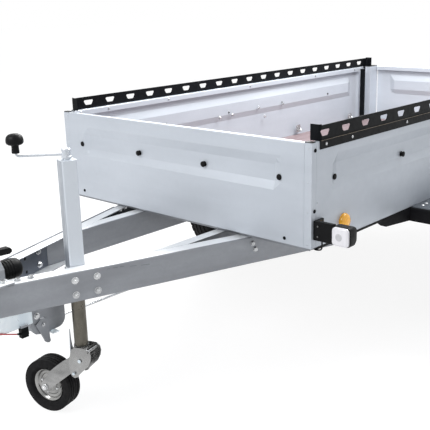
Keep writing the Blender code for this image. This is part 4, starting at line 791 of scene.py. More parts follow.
@dataclass
class BodyWalls:
    """Pressed walls, corner posts, tailgate and their small fittings."""

    bead: float = 0.0107
    sheet: float = 0.0027
    knob_radius: float = 0.0130
    knob_nut: float = 0.006
    front_knobs: Floats = (-0.639, -0.221, 0.199, 0.618)
    front_knob_up: float = 0.274
    side_knob_first: float = 0.157
    side_knob_pitch: float = 0.555
    side_knob_count: int = 5
    side_knob_up: float = 0.268
    front_bolt_head: Pair = (0.0075, 0.004)
    side_bolt_head: Pair = (0.0080, 0.0045)
    rivet_head: Pair = (0.004, 0.002)
    front_rivet_head: Pair = (0.0038, 0.0018)
    small_head: Pair = (0.004, 0.0025)
    wall_bolt: float = 0.0095
    hinge_bolt: float = 0.005
    front_bolts: Pairs = ((-0.650, 0.029), (0.644, 0.023))
    side_bolts: Pairs = ((0.022, 0.396), (0.020, 0.153))
    side_rivet: Pair = (0.041, 0.184)
    front_rivet_side: float = 0.7575
    front_rivet_ups: Floats = (0.404, 0.270, 0.150, 0.015)
    rear_rivet_ahead: float = 0.150
    rear_rivet_ups: Floats = (0.395, 0.200, 0.030)
    ring_backs: Floats = (0.52, 1.26, 1.996, 2.665)
    ring_up: float = 0.045
    ring_radius: float = 0.018
    ring_bar: float = 0.0035
    ring_face: float = HALF_WIDTH - 0.0256
    wall_bolts: Pairs = ((1.286, 0.250), (1.554, 0.263), (1.815, 0.259), (1.996, 0.064), (1.167, 0.246),
                         (1.617, 0.198))
    ring_plate: Point = (0.024, 0.026, 0.006)
    ring_bolt_step: float = 0.014
    ring_bolt_up: float = 0.062
    plate_faces: Pair = (0.0003, 0.0033)
    latch_plate: Point = (0.024, 0.034, 0.005)
    latch_faces: Pair = (0.0002, 0.0032)
    latch_middle: Pair = (0.040, 0.060)
    latch_tip: Point = (0.011, 0.030, 0.092)
    latch_inset: float = 0.052
    latch_stand_off: float = 0.009
    latch_ends: Pair = (0.036, 0.086)
    clamp_downs: Pair = (0.034, 0.086)
    clamp_half: float = 0.008
    keep_face: float = 0.0035
    keep_insets: Pair = (0.002, 0.048)
    keep_downs: Pair = (0.035, 0.075)
    keep_bolt_inset: float = 0.014
    keep_bolt_downs: Pair = (0.045, 0.066)
    hinge_step: float = 0.018
    hinge_up: float = 0.048
    hinge_sides: Floats = (-0.480, 0.480)

    def build(self) -> None:
        """Dress the walls and add the fittings."""
        for node in ("front_panel", "side_panel_left", "side_panel_right", "tailgate"):
            dress(node, Finish.PANEL, 0.0018, 2, 9.0)
        for node in ("front_post_left", "front_post_right", "rear_post_left", "rear_post_right"):
            dress(node, Finish.PANEL, 0.0014)
        self.knobs()
        self.corner_fixings()
        self.post_caps()
        self.corner_seals()
        self.inner_fittings()
        self.tailgate_fittings()

    def knob(self, heads: Workpiece, nuts: Workpiece, place: Point, way: Point) -> None:
        """Add one cover knob outside a wall and its nut inside.

        Args:
            heads: the mesh of the knobs.
            nuts: the mesh of the nuts.
            place: point on the wall.
            way: direction out of the wall.
        """
        r = self.knob_radius
        heads.lathe([(0.0, 0.0), (r * 0.95, 0.0), (r * 0.95, 0.0016), (r * 0.55, 0.0030), (r * 0.50, 0.0075),
                     (r * 0.86, 0.0092), (r, 0.0118), (r * 0.90, 0.0142), (r * 0.55, 0.0160), (0.0, 0.0166)],
                    place, way, 20)
        inside = [at - along * self.sheet for at, along in zip(place, way)]
        nuts.hex_bolt(inside, [-along for along in way], self.knob_nut)

    def knobs(self) -> None:
        """Add the black cover knobs outside and their nuts inside."""
        heads, nuts = Workpiece(), Workpiece()
        for across in self.front_knobs:
            self.knob(heads, nuts, (FRONT_X - self.bead, across, BASE_Z + self.front_knob_up), AHEAD)
        for side in (-1, 1):
            for number in range(self.side_knob_count):
                along = FRONT_X - self.side_knob_first - self.side_knob_pitch * number
                place = (along, side * (HALF_WIDTH - self.bead), BASE_Z + self.side_knob_up)
                self.knob(heads, nuts, place, (0.0, side, 0.0))
        heads.done("cover_knobs", Finish.PLASTIC)
        nuts.done("cover_knob_nuts", Finish.RIM, slot=Slot.ZINC)

    def corner_fixings(self) -> None:
        """Add the small black bolts and the rivets at the corners."""
        bolts, rivets = Workpiece(), Workpiece()
        for across, up in self.front_bolts:
            bolts.dome_bolt((FRONT_X, across, BASE_Z + up), AHEAD, *self.front_bolt_head)
        for side in (-1, 1):
            face, way = side * HALF_WIDTH, (0.0, side, 0.0)
            for back, up in self.side_bolts:
                bolts.dome_bolt((FRONT_X - back, face, BASE_Z + up), way, *self.side_bolt_head)
            back, up = self.side_rivet
            rivets.dome_bolt((FRONT_X - back, face, BASE_Z + up), way, *self.rivet_head)
            for up in self.front_rivet_ups:
                place = (FRONT_X, side * self.front_rivet_side, BASE_Z + up)
                rivets.dome_bolt(place, AHEAD, *self.front_rivet_head)
            for up in self.rear_rivet_ups:
                place = (REAR_X + self.rear_rivet_ahead, face, BASE_Z + up)
                rivets.dome_bolt(place, way, *self.rivet_head)
        bolts.done("corner_bolts", Finish.BLACK_COAT)
        rivets.done("corner_rivets", Finish.BRIGHT_ZINC, slot=Slot.PANEL)

    def post_caps(self) -> None:
        """Add the thin black caps on the posts' tops."""
        piece = Workpiece()
        lap, rear_length = 0.0008, 0.109
        for word, side in SIDES:
            low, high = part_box(f"front_post_{word}")
            front = (low[0] + 0.004, low[1]), (high[0] + lap, high[1] + lap * side), high[2]
            low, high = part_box(f"rear_post_{word}")
            rear = (low[0] - lap, low[1]), (low[0] + rear_length, high[1]), high[2]
            for near, far, top in (front, rear):
                outline = rounded((far[0] - near[0]) / 2, (far[1] - near[1]) / 2, 0.004)
                middle = ((near[0] + far[0]) / 2, (near[1] + far[1]) / 2, top)
                piece.slab(outline, Matrix.Translation(middle), 0.0002, 0.0032)
        piece.done("post_caps", Finish.PLASTIC, bevel=0.0008)

    def corner_seals(self) -> None:
        """Add dark strips as painted shade where the side walls meet the rear posts inside."""
        piece = Workpiece()
        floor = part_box("floor_board")[1][2] + 0.001
        for word, side in SIDES:
            low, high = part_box(f"rear_post_{word}")
            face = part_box(f"side_panel_{word}")[0][0]
            inner = min(abs(low[1]), abs(high[1]))
            near, far = sorted((side * (inner + 0.0020), side * self.ring_face))
            # black strips stand for the shade on the rear posts' front faces
            piece.box((face + 0.0002, near, floor), (face + 0.0022, far, TOP_Z - 0.012))
        piece.done("corner_seals", Finish.BLACK_COAT, slot=Slot.BLACK_PLASTIC, bevel=0.0006)

    def inner_fittings(self) -> None:
        """Add the lashing rings and the wall bolts inside the side walls."""
        piece = Workpiece()
        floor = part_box("floor_board")[1][2]
        angles = [math.pi * step / 10 for step in range(11)]
        for side in (-1, 1):
            inner, way = side * self.ring_face, (0.0, -side, 0.0)
            for back in self.ring_backs:
                x = FRONT_X - back
                turn = frame_at((x, inner, floor + self.ring_up), way)
                piece.slab(rounded(*self.ring_plate), turn, *self.plate_faces)
                height = floor + self.ring_up
                piece.tube([(x + self.ring_radius * math.cos(a), inner - side * (0.006 + 0.010 * math.sin(a)),
                             height - self.ring_radius * math.sin(a)) for a in angles], self.ring_bar, 8)
                for step in (-self.ring_bolt_step, self.ring_bolt_step):
                    place = (x + step, inner - side * self.plate_faces[1], floor + self.ring_bolt_up)
                    piece.dome_bolt(place, way, *self.small_head)
        for side in (-1, 1):
            for back, up in self.wall_bolts:
                place = (FRONT_X - back, side * INNER_HALF, BASE_Z + up)
                piece.hex_bolt(place, (0.0, -side, 0.0), self.wall_bolt)
        piece.done("lashing_rings", Finish.FIXINGS)

    def tailgate_fittings(self) -> None:
        """Add the drop latches, the edge fixings and the hinge bolts of the tailgate."""
        piece, keeps = Workpiece(), Workpiece()
        low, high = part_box("tailgate")
        top, bottom = self.latch_ends
        for side in (-1, 1):
            inset, down = self.latch_middle
            turn = frame_at((REAR_X, side * (high[1] - inset), TOP_Z - down), BACK)
            piece.slab(rounded(*self.latch_plate), turn, *self.latch_faces)
            across = side * (high[1] - self.latch_inset)
            knee = (REAR_X - self.latch_stand_off, across, TOP_Z - bottom)
            piece.tube([(REAR_X - self.latch_stand_off, across, TOP_Z - top), knee], 0.0045)
            back, inset, down = self.latch_tip
            piece.tube([knee, (REAR_X - back, side * (high[1] - inset), TOP_Z - down)], 0.0040)
            for down in self.clamp_downs:
                piece.box((REAR_X - 0.0155, across - self.clamp_half, TOP_Z - down - 0.006),
                          (REAR_X - 0.003, across + self.clamp_half, TOP_Z - down + 0.006))
            near, far = sorted(side * (HALF_WIDTH - inset) for inset in self.keep_insets)
            face, (upper, lower) = REAR_X - self.keep_face, self.keep_downs
            keeps.box((face, near, TOP_Z - lower), (REAR_X - 0.0003, far, TOP_Z - upper))
            for down in self.keep_bolt_downs:
                place = (face, side * (HALF_WIDTH - self.keep_bolt_inset), TOP_Z - down)
                keeps.dome_bolt(place, BACK, *self.small_head)
        for middle in self.hinge_sides:
            for across in (-self.hinge_step, self.hinge_step):
                place = (low[0] + 0.0040, middle + across, BASE_Z + self.hinge_up)
                piece.hex_bolt(place, BACK, self.hinge_bolt)
        piece.done("tailgate_latches", Finish.BRIGHT_ZINC, "tailgate", bevel=0.0006)
        keeps.done("latch_keeps", Finish.BRIGHT_ZINC, bevel=0.0006)


@dataclass
class LashingRails:
    """Black perforated rails along the side walls, with bolts and a painted highlight along the fold line."""

    bolt_backs: Floats = (0.0924, 0.2787, 0.7287, 1.47, 2.20, 2.72, 2.90)
    bolt_down: float = 0.0145
    bolt_head: Pair = (0.0065, 0.004)
    nut: float = 0.006
    fold_end: float = 0.004
    fold_up: float = 0.0010
    fold_width: float = 0.0013

    def build(self) -> None:
        """Dress the rails, bolt them down and paint a highlight along their fold lines."""
        bolts, folds = Workpiece(), Workpiece()
        for word, side in SIDES:
            dress(f"lashing_rail_{word}", Finish.RAIL_COAT, 0.0010)
            low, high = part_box(f"lashing_rail_{word}")
            outer = max(abs(low[1]), abs(high[1]))
            height = TOP_Z - self.bolt_down
            for back in self.bolt_backs:
                bolts.dome_bolt((FRONT_X - back, side * outer, height), (0.0, side, 0.0), *self.bolt_head)
                bolts.hex_bolt((FRONT_X - back, side * INNER_HALF, height), (0.0, -side, 0.0), self.nut)
            # a thin light brown strip on the rail's outer face is a painted highlight
            near, far = sorted((side * (outer + 0.0001), side * (outer + 0.0005)))
            folds.box((low[0] + self.fold_end, near, TOP_Z + self.fold_up),
                      (high[0] - self.fold_end, far, TOP_Z + self.fold_up + self.fold_width))
        bolts.done("rail_bolts", Finish.FIXINGS)
        folds.done("rail_fold_lines", Finish.FOLD_HIGHLIGHT)


@dataclass
class LoadFloor:
    """Film-faced floor board with its screws, and the bearers below it."""

    screw_pitch: float = 0.245
    screw_head: Pair = (0.007, 0.0012)

    def build(self) -> None:
        """Dress the floor and its bearers, and sink the screws."""
        dress("floor_board", Finish.BOARD, 0.0008)
        for node in ("bearer_1", "bearer_2", "rear_bearer"):
            dress(node, Finish.GALVANISED)
        screws = Workpiece()
        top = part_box("floor_board")[1][2]
        for node in ("bearer_1", "bearer_2"):
            low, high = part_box(node)
            for number in range(-2, 3):
                place = ((low[0] + high[0]) / 2, number * self.screw_pitch, top)
                screws.dome_bolt(place, UP, *self.screw_head)
        screws.done("floor_screws", Finish.FIXINGS)


# Chassis and drawbar

@dataclass
class Drawbar:
    """Drawbar channels, chassis rails and their bolts."""

    splay: float = 0.3298551
    web: float = 0.0042
    flange: float = 0.0052
    half_at_body: float = 0.4248
    plate: float = 0.0030
    seat: float = 0.0002
    stand_nut: float = 0.0125
    stand_end: Pair = (0.0055, 0.0040)
    far_nut: float = 0.0120
    far_end: Pair = (0.0052, 0.0060)
    body_bolt: float = 0.0110
    housing_bolt: float = 0.012
    stand_aheads: Pair = (0.6320, 0.7167)
    stand_ups: Pair = (-0.0555, -0.1145)
    far_stand: Pairs = ((0.604, -0.0532), (0.6024, -0.1137))
    far_holes: Pairs = ((0.6889, -0.0585), (0.6847, -0.1178), (0.8173, -0.0821))
    body_bolts: Pairs = ((-0.044, -0.052), (-0.056, -0.080))
    marks: tuple[Floats, ...] = (
        (0.580, 0.592, -0.0353, -0.0349), (0.549, 0.568, -0.0356, -0.0350), (0.524, 0.540, -0.0367, -0.0356),
        (0.474, 0.500, -0.0445, -0.0420), (0.420, 0.455, -0.0500, -0.0470))
    mark_width: float = 0.0012
    far_shade_sheet: Pair = (0.535, 0.880)
    root_shade_sheet: Pair = (-0.340, 0.420)
    root_bolts: Pair = (-0.085, -0.040)
    root_bolt_up: float = -0.046
    edge_ends: Pair = (0.004, 1.020)
    edge_inset: float = 0.0004
    edge_width: float = 0.010
    housing_rows: Pair = (0.965, 1.095)
    housing_half: float = 0.088
    housing_rise: float = 0.0073
    flange_rows: Pair = (0.858, 0.905)
    flange_inset: float = 0.034

    def web_point(self, ahead: float, up: float, side: int = 1) -> Vector:
        """Return a point on the outer face of a drawbar channel.

        Args:
            ahead: distance ahead of the body.
            up: height above the body's lower edge.
            side: 1 for the left channel, -1 for the right.

        Returns:
            The point.
        """
        return Vector((FRONT_X + ahead, side * (self.half_at_body - self.splay * ahead), BASE_Z + up))

    def web_normal(self, side: int = 1) -> Vector:
        """Return the direction out of a channel's web."""
        return Vector((self.splay, side, 0.0)).normalized()

    def build(self) -> None:
        """Dress the channels and rails, and add their bolts and the dark sheets of painted shade."""
        for node in ("drawbar_beam_left", "chassis_rail_left", "drawbar_beam_right", "chassis_rail_right"):
            dress(node, Finish.GALVANISED, 0.0015)
        low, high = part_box("drawbar_beam_right")
        self.floor, self.top = low[2] + self.flange - BASE_Z, high[2] - self.flange - BASE_Z
        self.crest = high[2] - BASE_Z
        self.near_web()
        self.far_web()
        self.far_root()
        self.housing_bolts()

    def near_web(self) -> None:
        """Add the stand's four nuts, the marks and the body's bolts on the near web."""
        nuts, marks, pair = Workpiece(), Workpiece(), Workpiece()
        out = self.web_normal()
        for ahead in self.stand_aheads:
            for up in self.stand_ups:
                place = self.web_point(ahead, up)
                nuts.lathe([(0.0, 0.0), (0.0150, 0.0), (0.0150, 0.0018), (0.0142, 0.0026), (0.0, 0.0026)],
                           place, out)
                nuts.stud(place, out, self.stand_nut, (0.0022, 0.0098), self.stand_end)
        nuts.done("stand_bolts", Finish.FIXINGS)
        for start, end, first, last in self.marks:
            ring = [self.web_point(ahead, up) for ahead, up in (
                (start, first), (end, last), (end, last - self.mark_width), (start, first - self.mark_width))]
            marks.skin([[point + out * gap for point in ring] for gap in (0.0001, 0.0005)])
        marks.done("web_marks", Finish.DARK_MARKS_AND_SHADE)
        for ahead, up in self.body_bolts:
            pair.hex_bolt(self.web_point(ahead, up), out, self.body_bolt)
        pair.done("body_bolts", Finish.FIXINGS)

    def far_web(self) -> None:
        """Add a dark sheet inside the far web as painted shade, with its nuts and holes."""
        sheet, nuts, holes = Workpiece(), Workpiece(), Workpiece()
        inner = -self.web_normal(-1)
        along = Vector((1.0, self.splay, 0.0)).normalized()
        root = self.web_point(0.0, 0.0, -1) + inner * (self.web + self.seat)
        turn = axes_at(root, along, Vector(UP), inner)
        slope = math.hypot(1.0, self.splay)
        rear, front = [ahead * slope for ahead in self.far_shade_sheet]
        # a dark sheet over the far web's inner face stands for the shade there
        sheet.slab([(rear, self.floor), (front, self.floor), (front, self.top), (rear, self.top)],
                   turn, 0.0, self.plate)
        sheet.done("far_web_plate", Finish.DARK_MARKS_AND_SHADE, bevel=0.0006)
        face = inner * (self.web + self.seat + self.plate)
        for ahead, up in self.far_stand:
            place = self.web_point(ahead, up, -1) + face
            nuts.disc(place, inner, 0.0145, 0.0020)
            nuts.stud(place, inner, self.far_nut, (0.0020, 0.0096), self.far_end)
        nuts.done("far_stand_bolts", Finish.FIXINGS)
        for ahead, up in self.far_holes:
            holes.lathe([(0.0, 0.0002), (0.0070, 0.0002), (0.0066, 0.0006), (0.0, 0.0006)],
                        self.web_point(ahead, up, -1) + face, inner, 20)
        holes.done("far_plate_holes", Finish.PLASTIC)

    def far_root(self) -> None:
        """Add a dark navy sheet at the root of the far web as painted shade, its bolts, and the dark strip on
        its flange's edge.
        """
        sheet, bolts, edge = Workpiece(), Workpiece(), Workpiece()
        inner = -self.web_normal(-1)
        # a navy sheet over the far web's root stands for the shade under the body
        rear, front = self.root_shade_sheet
        face = [self.web_point(ahead, up, -1) for ahead, up in ((rear, self.floor), (front, self.floor),
                                                                (front, self.top), (rear, self.top))]
        sheet.skin([[point + inner * (self.web + gap) for point in face]
                    for gap in (self.seat, self.seat + self.plate)])
        sheet.done("far_root_plate", Finish.NAVY_SHADE, bevel=0.0006)
        for ahead in self.root_bolts:
            bolts.hex_bolt(self.web_point(ahead, self.root_bolt_up, -1)
                           + inner * (self.web + self.seat + self.plate), inner, self.body_bolt)
        bolts.done("far_root_bolts", Finish.FIXINGS)
        rear, front = [self.web_point(ahead, self.crest + self.seat, -1) for ahead in self.edge_ends]
        near, far = self.edge_inset, self.edge_inset + self.edge_width
        ring = [rear + inner * near, front + inner * near, front + inner * far, rear + inner * far]
        edge.skin([[point + Vector(UP) * lift for point in ring] for lift in (0.0, 0.0006)])
        edge.done("far_flange_edge", Finish.DARK_MARKS_AND_SHADE)

    def housing_bolts(self) -> None:
        """Add the bolts of the overrun housing on the beams' flanges."""
        beam_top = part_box("drawbar_beam_left")[1][2]
        piece = Workpiece()
        for ahead in self.housing_rows:
            for side in (-1, 1):
                place = (FRONT_X + ahead, side * self.housing_half, beam_top + self.housing_rise)
                piece.hex_bolt(place, UP, self.housing_bolt)
        for ahead in self.flange_rows:
            for side in (-1, 1):
                across = side * (self.half_at_body - self.splay * ahead - self.flange_inset)
                piece.hex_bolt((FRONT_X + ahead, across, beam_top), UP, self.housing_bolt)
        piece.done("housing_bolts", Finish.FIXINGS)


@dataclass
class OverrunGear:
    """Overrun housing, coupling, bellows, handbrake, relay and the breakaway cable."""

    cable_route: tuple[Point, ...] = (
        (0.8905, 0.0520, -0.2560), (0.9205, 0.0525, -0.2458), (0.9705, 0.0530, -0.2276),
        (1.0405, 0.0530, -0.1994), (1.1005, 0.0530, -0.1728), (1.1605, 0.0510, -0.1439),
        (1.2205, 0.0440, -0.1127), (1.2705, 0.0360, -0.0850), (1.3105, 0.0280, -0.0640),
        (1.3380, 0.0230, -0.0480), (1.3550, 0.0200, -0.0345))
    cable_radius: float = 0.0025
    cable_steps: int = 5
    housing_rear: float = 0.935
    boot_rise: float = 0.0155
    boot_radius: float = 0.040
    boot_ribs: int = 5
    boot_pitch: float = 0.012
    boot_rib: Pairs = ((0.0, 0.0), (0.0016, 0.0010), (0.0020, 0.0030), (0.0016, 0.0050), (0.0, 0.0060))
    pivot: Pair = (1.4677, 0.432)
    guide_bolt: Point = (1.4900, 0.0302, 0.4740)
    guide_rivet: Point = (1.4770, 0.0302, 0.5020)
    lever: Pairs = ((0.8120, -0.2519), (0.7919, -0.2397), (0.7636, -0.2646), (0.7482, -0.3356),
                    (0.7510, -0.3415), (0.7570, -0.3440), (0.7676, -0.3407))
    lever_faces: Pair = (0.0353, 0.0378)
    tab_boxes: tuple[tuple[Point, Point], ...] = (
        ((1.4050, 0.0180, 0.3855), (1.4370, 0.0550, 0.3885)),
        ((1.4130, 0.0240, 0.3885), (1.4290, 0.0290, 0.3918)))
    skin_box: tuple[Point, Point] = ((1.5215, 0.0482, 0.4595), (1.8385, 0.0490, 0.5380))
    clip_box: tuple[Point, Point] = ((1.5494, 0.0372, 0.4172), (1.5806, 0.0589, 0.4582))

    def build(self) -> None:
        """Dress the gear and add the boot, the relay's fittings, the clip and the cable."""
        dress("overrun_housing", Finish.GALVANISED, 0.0025, 3)
        dress("brake_relay", Finish.GALVANISED)
        dress("coupling_head", Finish.BRIGHT_ZINC, 0.0020, 3)
        dress("bellows", Finish.RUBBER, 0.0008)
        dress("handbrake_lever", Finish.PLASTIC, 0.0040, 3)
        dress("brake_rod", Finish.FIXINGS, 0.0006)
        self.damper_cap()
        self.relay_fittings()
        self.cable_clip()
        self.cable()

    def damper_cap(self) -> None:
        """Add the black boot over the damper's end, with its ribs."""
        axis_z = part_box("drawbar_beam_left")[1][2] + 0.0003 + self.boot_rise
        rear = FRONT_X + self.housing_rear
        piece = Workpiece()
        r = self.boot_radius
        shell = r + 0.0004
        piece.lathe([(0.0, 0.0), (shell, 0.0), (shell, 0.070), (r * 0.945, 0.0872), (r * 0.79, 0.0955),
                     (r * 0.61, 0.0985), (0.0, 0.0985)], (rear - 0.0003, 0.0, axis_z), BACK, 40)
        for rib in range(self.boot_ribs):
            profile = moved(r, 0.006 + rib * self.boot_pitch, self.boot_rib)
            piece.lathe(profile, (rear, 0.0, axis_z), BACK, 40)
        piece.done("damper_cap", Finish.PLASTIC)

    def relay_fittings(self) -> None:
        """Add the relay's bolts, its lever plate, the tab below its bracket and the lower box's skin."""
        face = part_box("brake_relay")[1][1]
        bolts, lever, tab, cover = Workpiece(), Workpiece(), Workpiece(), Workpiece()
        x, z = self.pivot
        bolts.hex_bolt((x, face, z), LEFT, 0.0090)
        bolts.dome_bolt((x, face + 0.0078, z), LEFT, 0.0045, 0.0050)
        x, y, z = self.guide_bolt
        bolts.disc((x, y, z), LEFT, 0.0135, 0.0022)
        bolts.hex_bolt((x, y + 0.0022, z), LEFT, 0.0110, washer=False)
        bolts.dome_bolt(self.guide_rivet, LEFT, 0.0070, 0.0060)
        bolts.done("relay_bolts", Finish.FIXINGS)
        lever.skin([[(FRONT_X + ahead, across, BASE_Z + up) for ahead, up in self.lever]
                    for across in self.lever_faces])
        lever.done("relay_lever_plate", Finish.GALVANISED, bevel=0.0006)
        for low, high in self.tab_boxes:
            tab.box(low, high)
        tab.done("relay_tab", Finish.WHITE_ZINC, bevel=0.0005)
        cover.box(*self.skin_box)
        cover.done("lower_box_skin", Finish.WHITE_ZINC)

    def cable_clip(self) -> None:
        """Add the black spring clip at the cable's rear end."""
        piece = Workpiece()
        piece.box(*self.clip_box)
        ahead, y, up = self.cable_route[0]
        x, z = FRONT_X + ahead, BASE_Z + up
        piece.slab(rounded(0.0165, 0.0075, 0.003), frame_at((x - 0.014, y + 0.0065, z), LEFT), 0.0, 0.0035)
        piece.lathe([(0.0, 0.0), (0.0042, 0.0), (0.0042, 0.016), (0.0030, 0.022), (0.0, 0.022)],
                    (x - 0.0035, y, z - 0.001), (1.0, 0.0, 0.34), 14)
        piece.done("cable_clip_cover", Finish.BLACK_COAT, bevel=0.0006)

    def cable(self) -> None:
        """Add the thin red breakaway cable along its hanging route."""
        base = Vector((FRONT_X, 0.0, BASE_Z))
        points = smooth_route([base + Vector(place) for place in self.cable_route], self.cable_steps)
        curve = bpy.data.curves.new("breakaway_cable_sheath", "CURVE")
        curve.dimensions = "3D"
        curve.bevel_depth = self.cable_radius
        curve.bevel_resolution = 3
        curve.use_fill_caps = True
        spline = curve.splines.new("POLY")
        spline.points.add(len(points) - 1)
        for slot, point in zip(spline.points, points):
            slot.co = (*point, 1.0)
        curve.materials.append(material(Finish.RED_SHEATH))
        sheath = put("breakaway_cable_sheath", curve)
        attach(sheath, "chassis")
        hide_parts("breakaway_cable")


# Jockey stand

@dataclass
class JockeyStand:
    """Square stand with its crank, inner tube, folding fork and small wheel."""

    crank_turn: float = -42.0
    crank_reach: float = 0.186
    crank_bend: float = 0.012
    crank_rise: float = 0.0136
    crank_bar: float = 0.0045
    pin_half: float = 0.0195
    pin_lift: float = 0.009
    knob_radius: float = 0.0335
    knob_height: float = 0.074
    knob_shares: Pairs = (
        (0.0, 0.0), (0.40, 0.0), (0.445, 0.02), (0.44, 0.12), (0.415, 0.28), (0.42, 0.38), (0.50, 0.415),
        (0.74, 0.44), (0.93, 0.50), (0.995, 0.58), (1.0, 0.66), (0.97, 0.76), (0.88, 0.86), (0.72, 0.94),
        (0.48, 0.985), (0.22, 1.0), (0.0, 1.0))
    tongue_faces: Pair = (-0.0318, -0.0286)
    half: float = 0.0385
    outer: float = 0.116
    rim: float = 0.0735
    wall_shares: Pairs = ((0.0003, 0.62), (0.0050, 0.80), (0.0085, 0.86), (0.0100, 0.95), (0.0160, 1.0))
    tread_shares: Pairs = (
        (-0.0190, 1.0), (-0.0036, 1.0), (-0.0018, 0.985), (-0.0006, 0.95), (-0.0001, 0.88), (0.0, 0.62),
        (-0.0040, 0.58), (-0.0040, 0.50), (-0.0010, 0.46), (-0.0004, 0.28), (-0.0032, 0.25), (-0.0032, 0.18),
        (0.0, 0.14))
    bore: float = 0.0086
    dish_shares: Pairs = (
        (0.0170, 0.50), (0.0200, 0.36), (0.0300, 0.33), (0.0360, 0.44), (0.0430, 0.46), (0.0500, 0.34),
        (0.0600, 0.40), (0.0650, 0.64), (0.0715, 0.72), (0.0732, 0.66))
    rim_bolts: int = 4
    rim_bolt_ring: float = 0.0395
    rim_bolt: float = 0.0055
    arm_face: float = 0.0482
    axle_nut: float = 0.0125
    axle_end: Pair = (0.0060, 0.0050)
    pin_head: Pair = (0.0080, 0.0030)
    stop_nut: float = 0.0070
    pin_back: float = 0.0140
    pin_rise: float = 0.0055
    pin_end: float = 0.0416
    stop_trail: float = 0.018
    stop_down: float = 0.055

    def build(self) -> None:
        """Dress the stand and add its crank, release tongue, wheel and pins."""
        # the post's finish paints shade on its faces that look forward and slightly right
        dress("jockey_post", Finish.STAND_ZINC)
        dress("jockey_clamp", Finish.GALVANISED, 0.0010)
        dress("jockey_tube", Finish.TUBE_ZINC, 0.0005)
        dress("jockey_head", Finish.FORK_ZINC, 0.0010)
        dress("jockey_fork", Finish.FORK_ARM)
        self.hub, self.axis = joint("jockey_spin")
        self.swivel = joint("jockey_turn")[0]
        self.trail = Vector((self.axis.y, -self.axis.x, 0.0))
        self.crank()
        self.tongue()
        self.tyre()
        self.rim_disc()
        self.pins()

    def tongue(self) -> None:
        """Build the release tongue that stands beside the tube."""
        piece = Workpiece()
        outline = [(0.0170, 0.0180), (0.0374, 0.0180), (0.0374, 0.0450), (0.0350, 0.0900), (0.0325, 0.1340),
                   (0.0305, 0.1370), (0.0292, 0.1330), (0.0270, 0.0900), (0.0220, 0.0600), (0.0170, 0.0450)]
        turn = axes_at(self.swivel, self.axis, Vector(UP), -self.trail.normalized())
        piece.slab(outline, turn, *self.tongue_faces)
        piece.done("release_tongue", Finish.BRIGHT_ZINC, "jockey_swivel", bevel=0.0006)

    def crank(self) -> None:
        """Build the crank: spindle boss, bent bar and the mushroom knob."""
        low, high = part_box("jockey_post")
        base = high[2] + 0.0003
        level = base + self.crank_rise
        turn = math.radians(self.crank_turn)
        heading, up = Vector((math.cos(turn), math.sin(turn), 0.0)), Vector(UP)
        start = Vector(((low[0] + high[0]) / 2, (low[1] + high[1]) / 2, level))
        metal, grip = Workpiece(), Workpiece()
        metal.lathe([(0.0, 0.0), (0.0190, 0.0), (0.0190, 0.006), (0.0165, 0.008), (0.0165, 0.025),
                     (0.0180, 0.027), (0.0180, 0.034), (0.0160, 0.0365), (0.0, 0.0370)],
                    (start.x, start.y, base), UP, 32)
        reach, bend = self.crank_reach, self.crank_bend
        end = start + heading * reach
        route = [start, start + heading * (reach - bend)]
        for step in range(1, 6):
            angle = math.pi / 2 * step / 5
            route.append(start + heading * (reach - bend + bend * math.sin(angle))
                         + up * (bend - bend * math.cos(angle)))
        route.append(end + up * (bend * 1.7))
        metal.tube(route, self.crank_bar, 14)
        cross = Vector((-heading.y, heading.x, 0.0))
        metal.tube([start + cross * way * self.pin_half + up * self.pin_lift for way in (-1, 1)], 0.0025)
        metal.done("crank_bar", Finish.BRIGHT_ZINC, replaced="jockey_crank")
        grip.lathe([(self.knob_radius * a, self.knob_height * b) for a, b in self.knob_shares],
                   (end.x, end.y, level + bend), UP, 40)
        grip.done("crank_knob", Finish.PLASTIC, angle=60.0)

    def tyre(self) -> None:
        """Build the ribbed tyre of the small wheel."""
        piece = Workpiece()
        profile = shared(self.rim, self.half, self.wall_shares)
        profile += shared(self.outer, self.half, self.tread_shares)
        piece.lathe(both_faces(profile), self.hub, self.axis, 72, looped=True)
        piece.done("jockey_tyre_ribbed", Finish.RUBBER, "jockey_wheel", angle=50.0, replaced="jockey_tyre")

    def rim_disc(self) -> None:
        """Build the dished rim of the small wheel, with its hub and bolts."""
        half = self.half
        disc, bolts = Workpiece(), Workpiece()
        face = [(self.bore, half + 0.0020), (0.0150, half + 0.0020), (0.0165, half + 0.0005)]
        face += shared(0.0, half, self.dish_shares)
        disc.lathe(both_faces(face), self.hub, self.axis, 64, looped=True)
        disc.done("jockey_rim_pressed", Finish.BRIGHT_RIM, "jockey_wheel", angle=40.0, replaced="jockey_rim")
        other = self.axis.orthogonal().normalized()
        third = self.axis.cross(other)
        for step in range(self.rim_bolts):
            angle = math.tau * (step + 0.3) / self.rim_bolts
            spot = other * math.cos(angle) * self.rim_bolt_ring + third * math.sin(angle) * self.rim_bolt_ring
            for way in (1, -1):
                place = self.hub + spot + self.axis * way * half * 0.45
                bolts.hex_bolt(place, self.axis * way, self.rim_bolt)
        bolts.done("jockey_rim_bolts", Finish.FIXINGS, "jockey_wheel")

    def pins(self) -> None:
        """Add the axle's nuts, and the heads of the fork's pin and of its stop."""
        nuts, pins = Workpiece(), Workpiece()
        pin = self.swivel - self.trail * self.pin_back + Vector(UP) * self.pin_rise
        stop = self.swivel + self.trail * self.stop_trail - Vector(UP) * self.stop_down
        for way in (self.axis, -self.axis):
            lifts = (self.arm_face, self.arm_face + 0.0090)
            nuts.stud(self.hub, way, self.axle_nut, lifts, self.axle_end, True)
            pins.dome_bolt(pin + way * self.pin_end, way, *self.pin_head)
            pins.hex_bolt(stop + way * self.pin_end, way, self.stop_nut, washer=False)
        nuts.done("jockey_axle_nuts", Finish.FIXINGS, "jockey_swivel")
        pins.done("knuckle_pin_heads", Finish.WHITE_ZINC, "jockey_swivel")


# Running gear

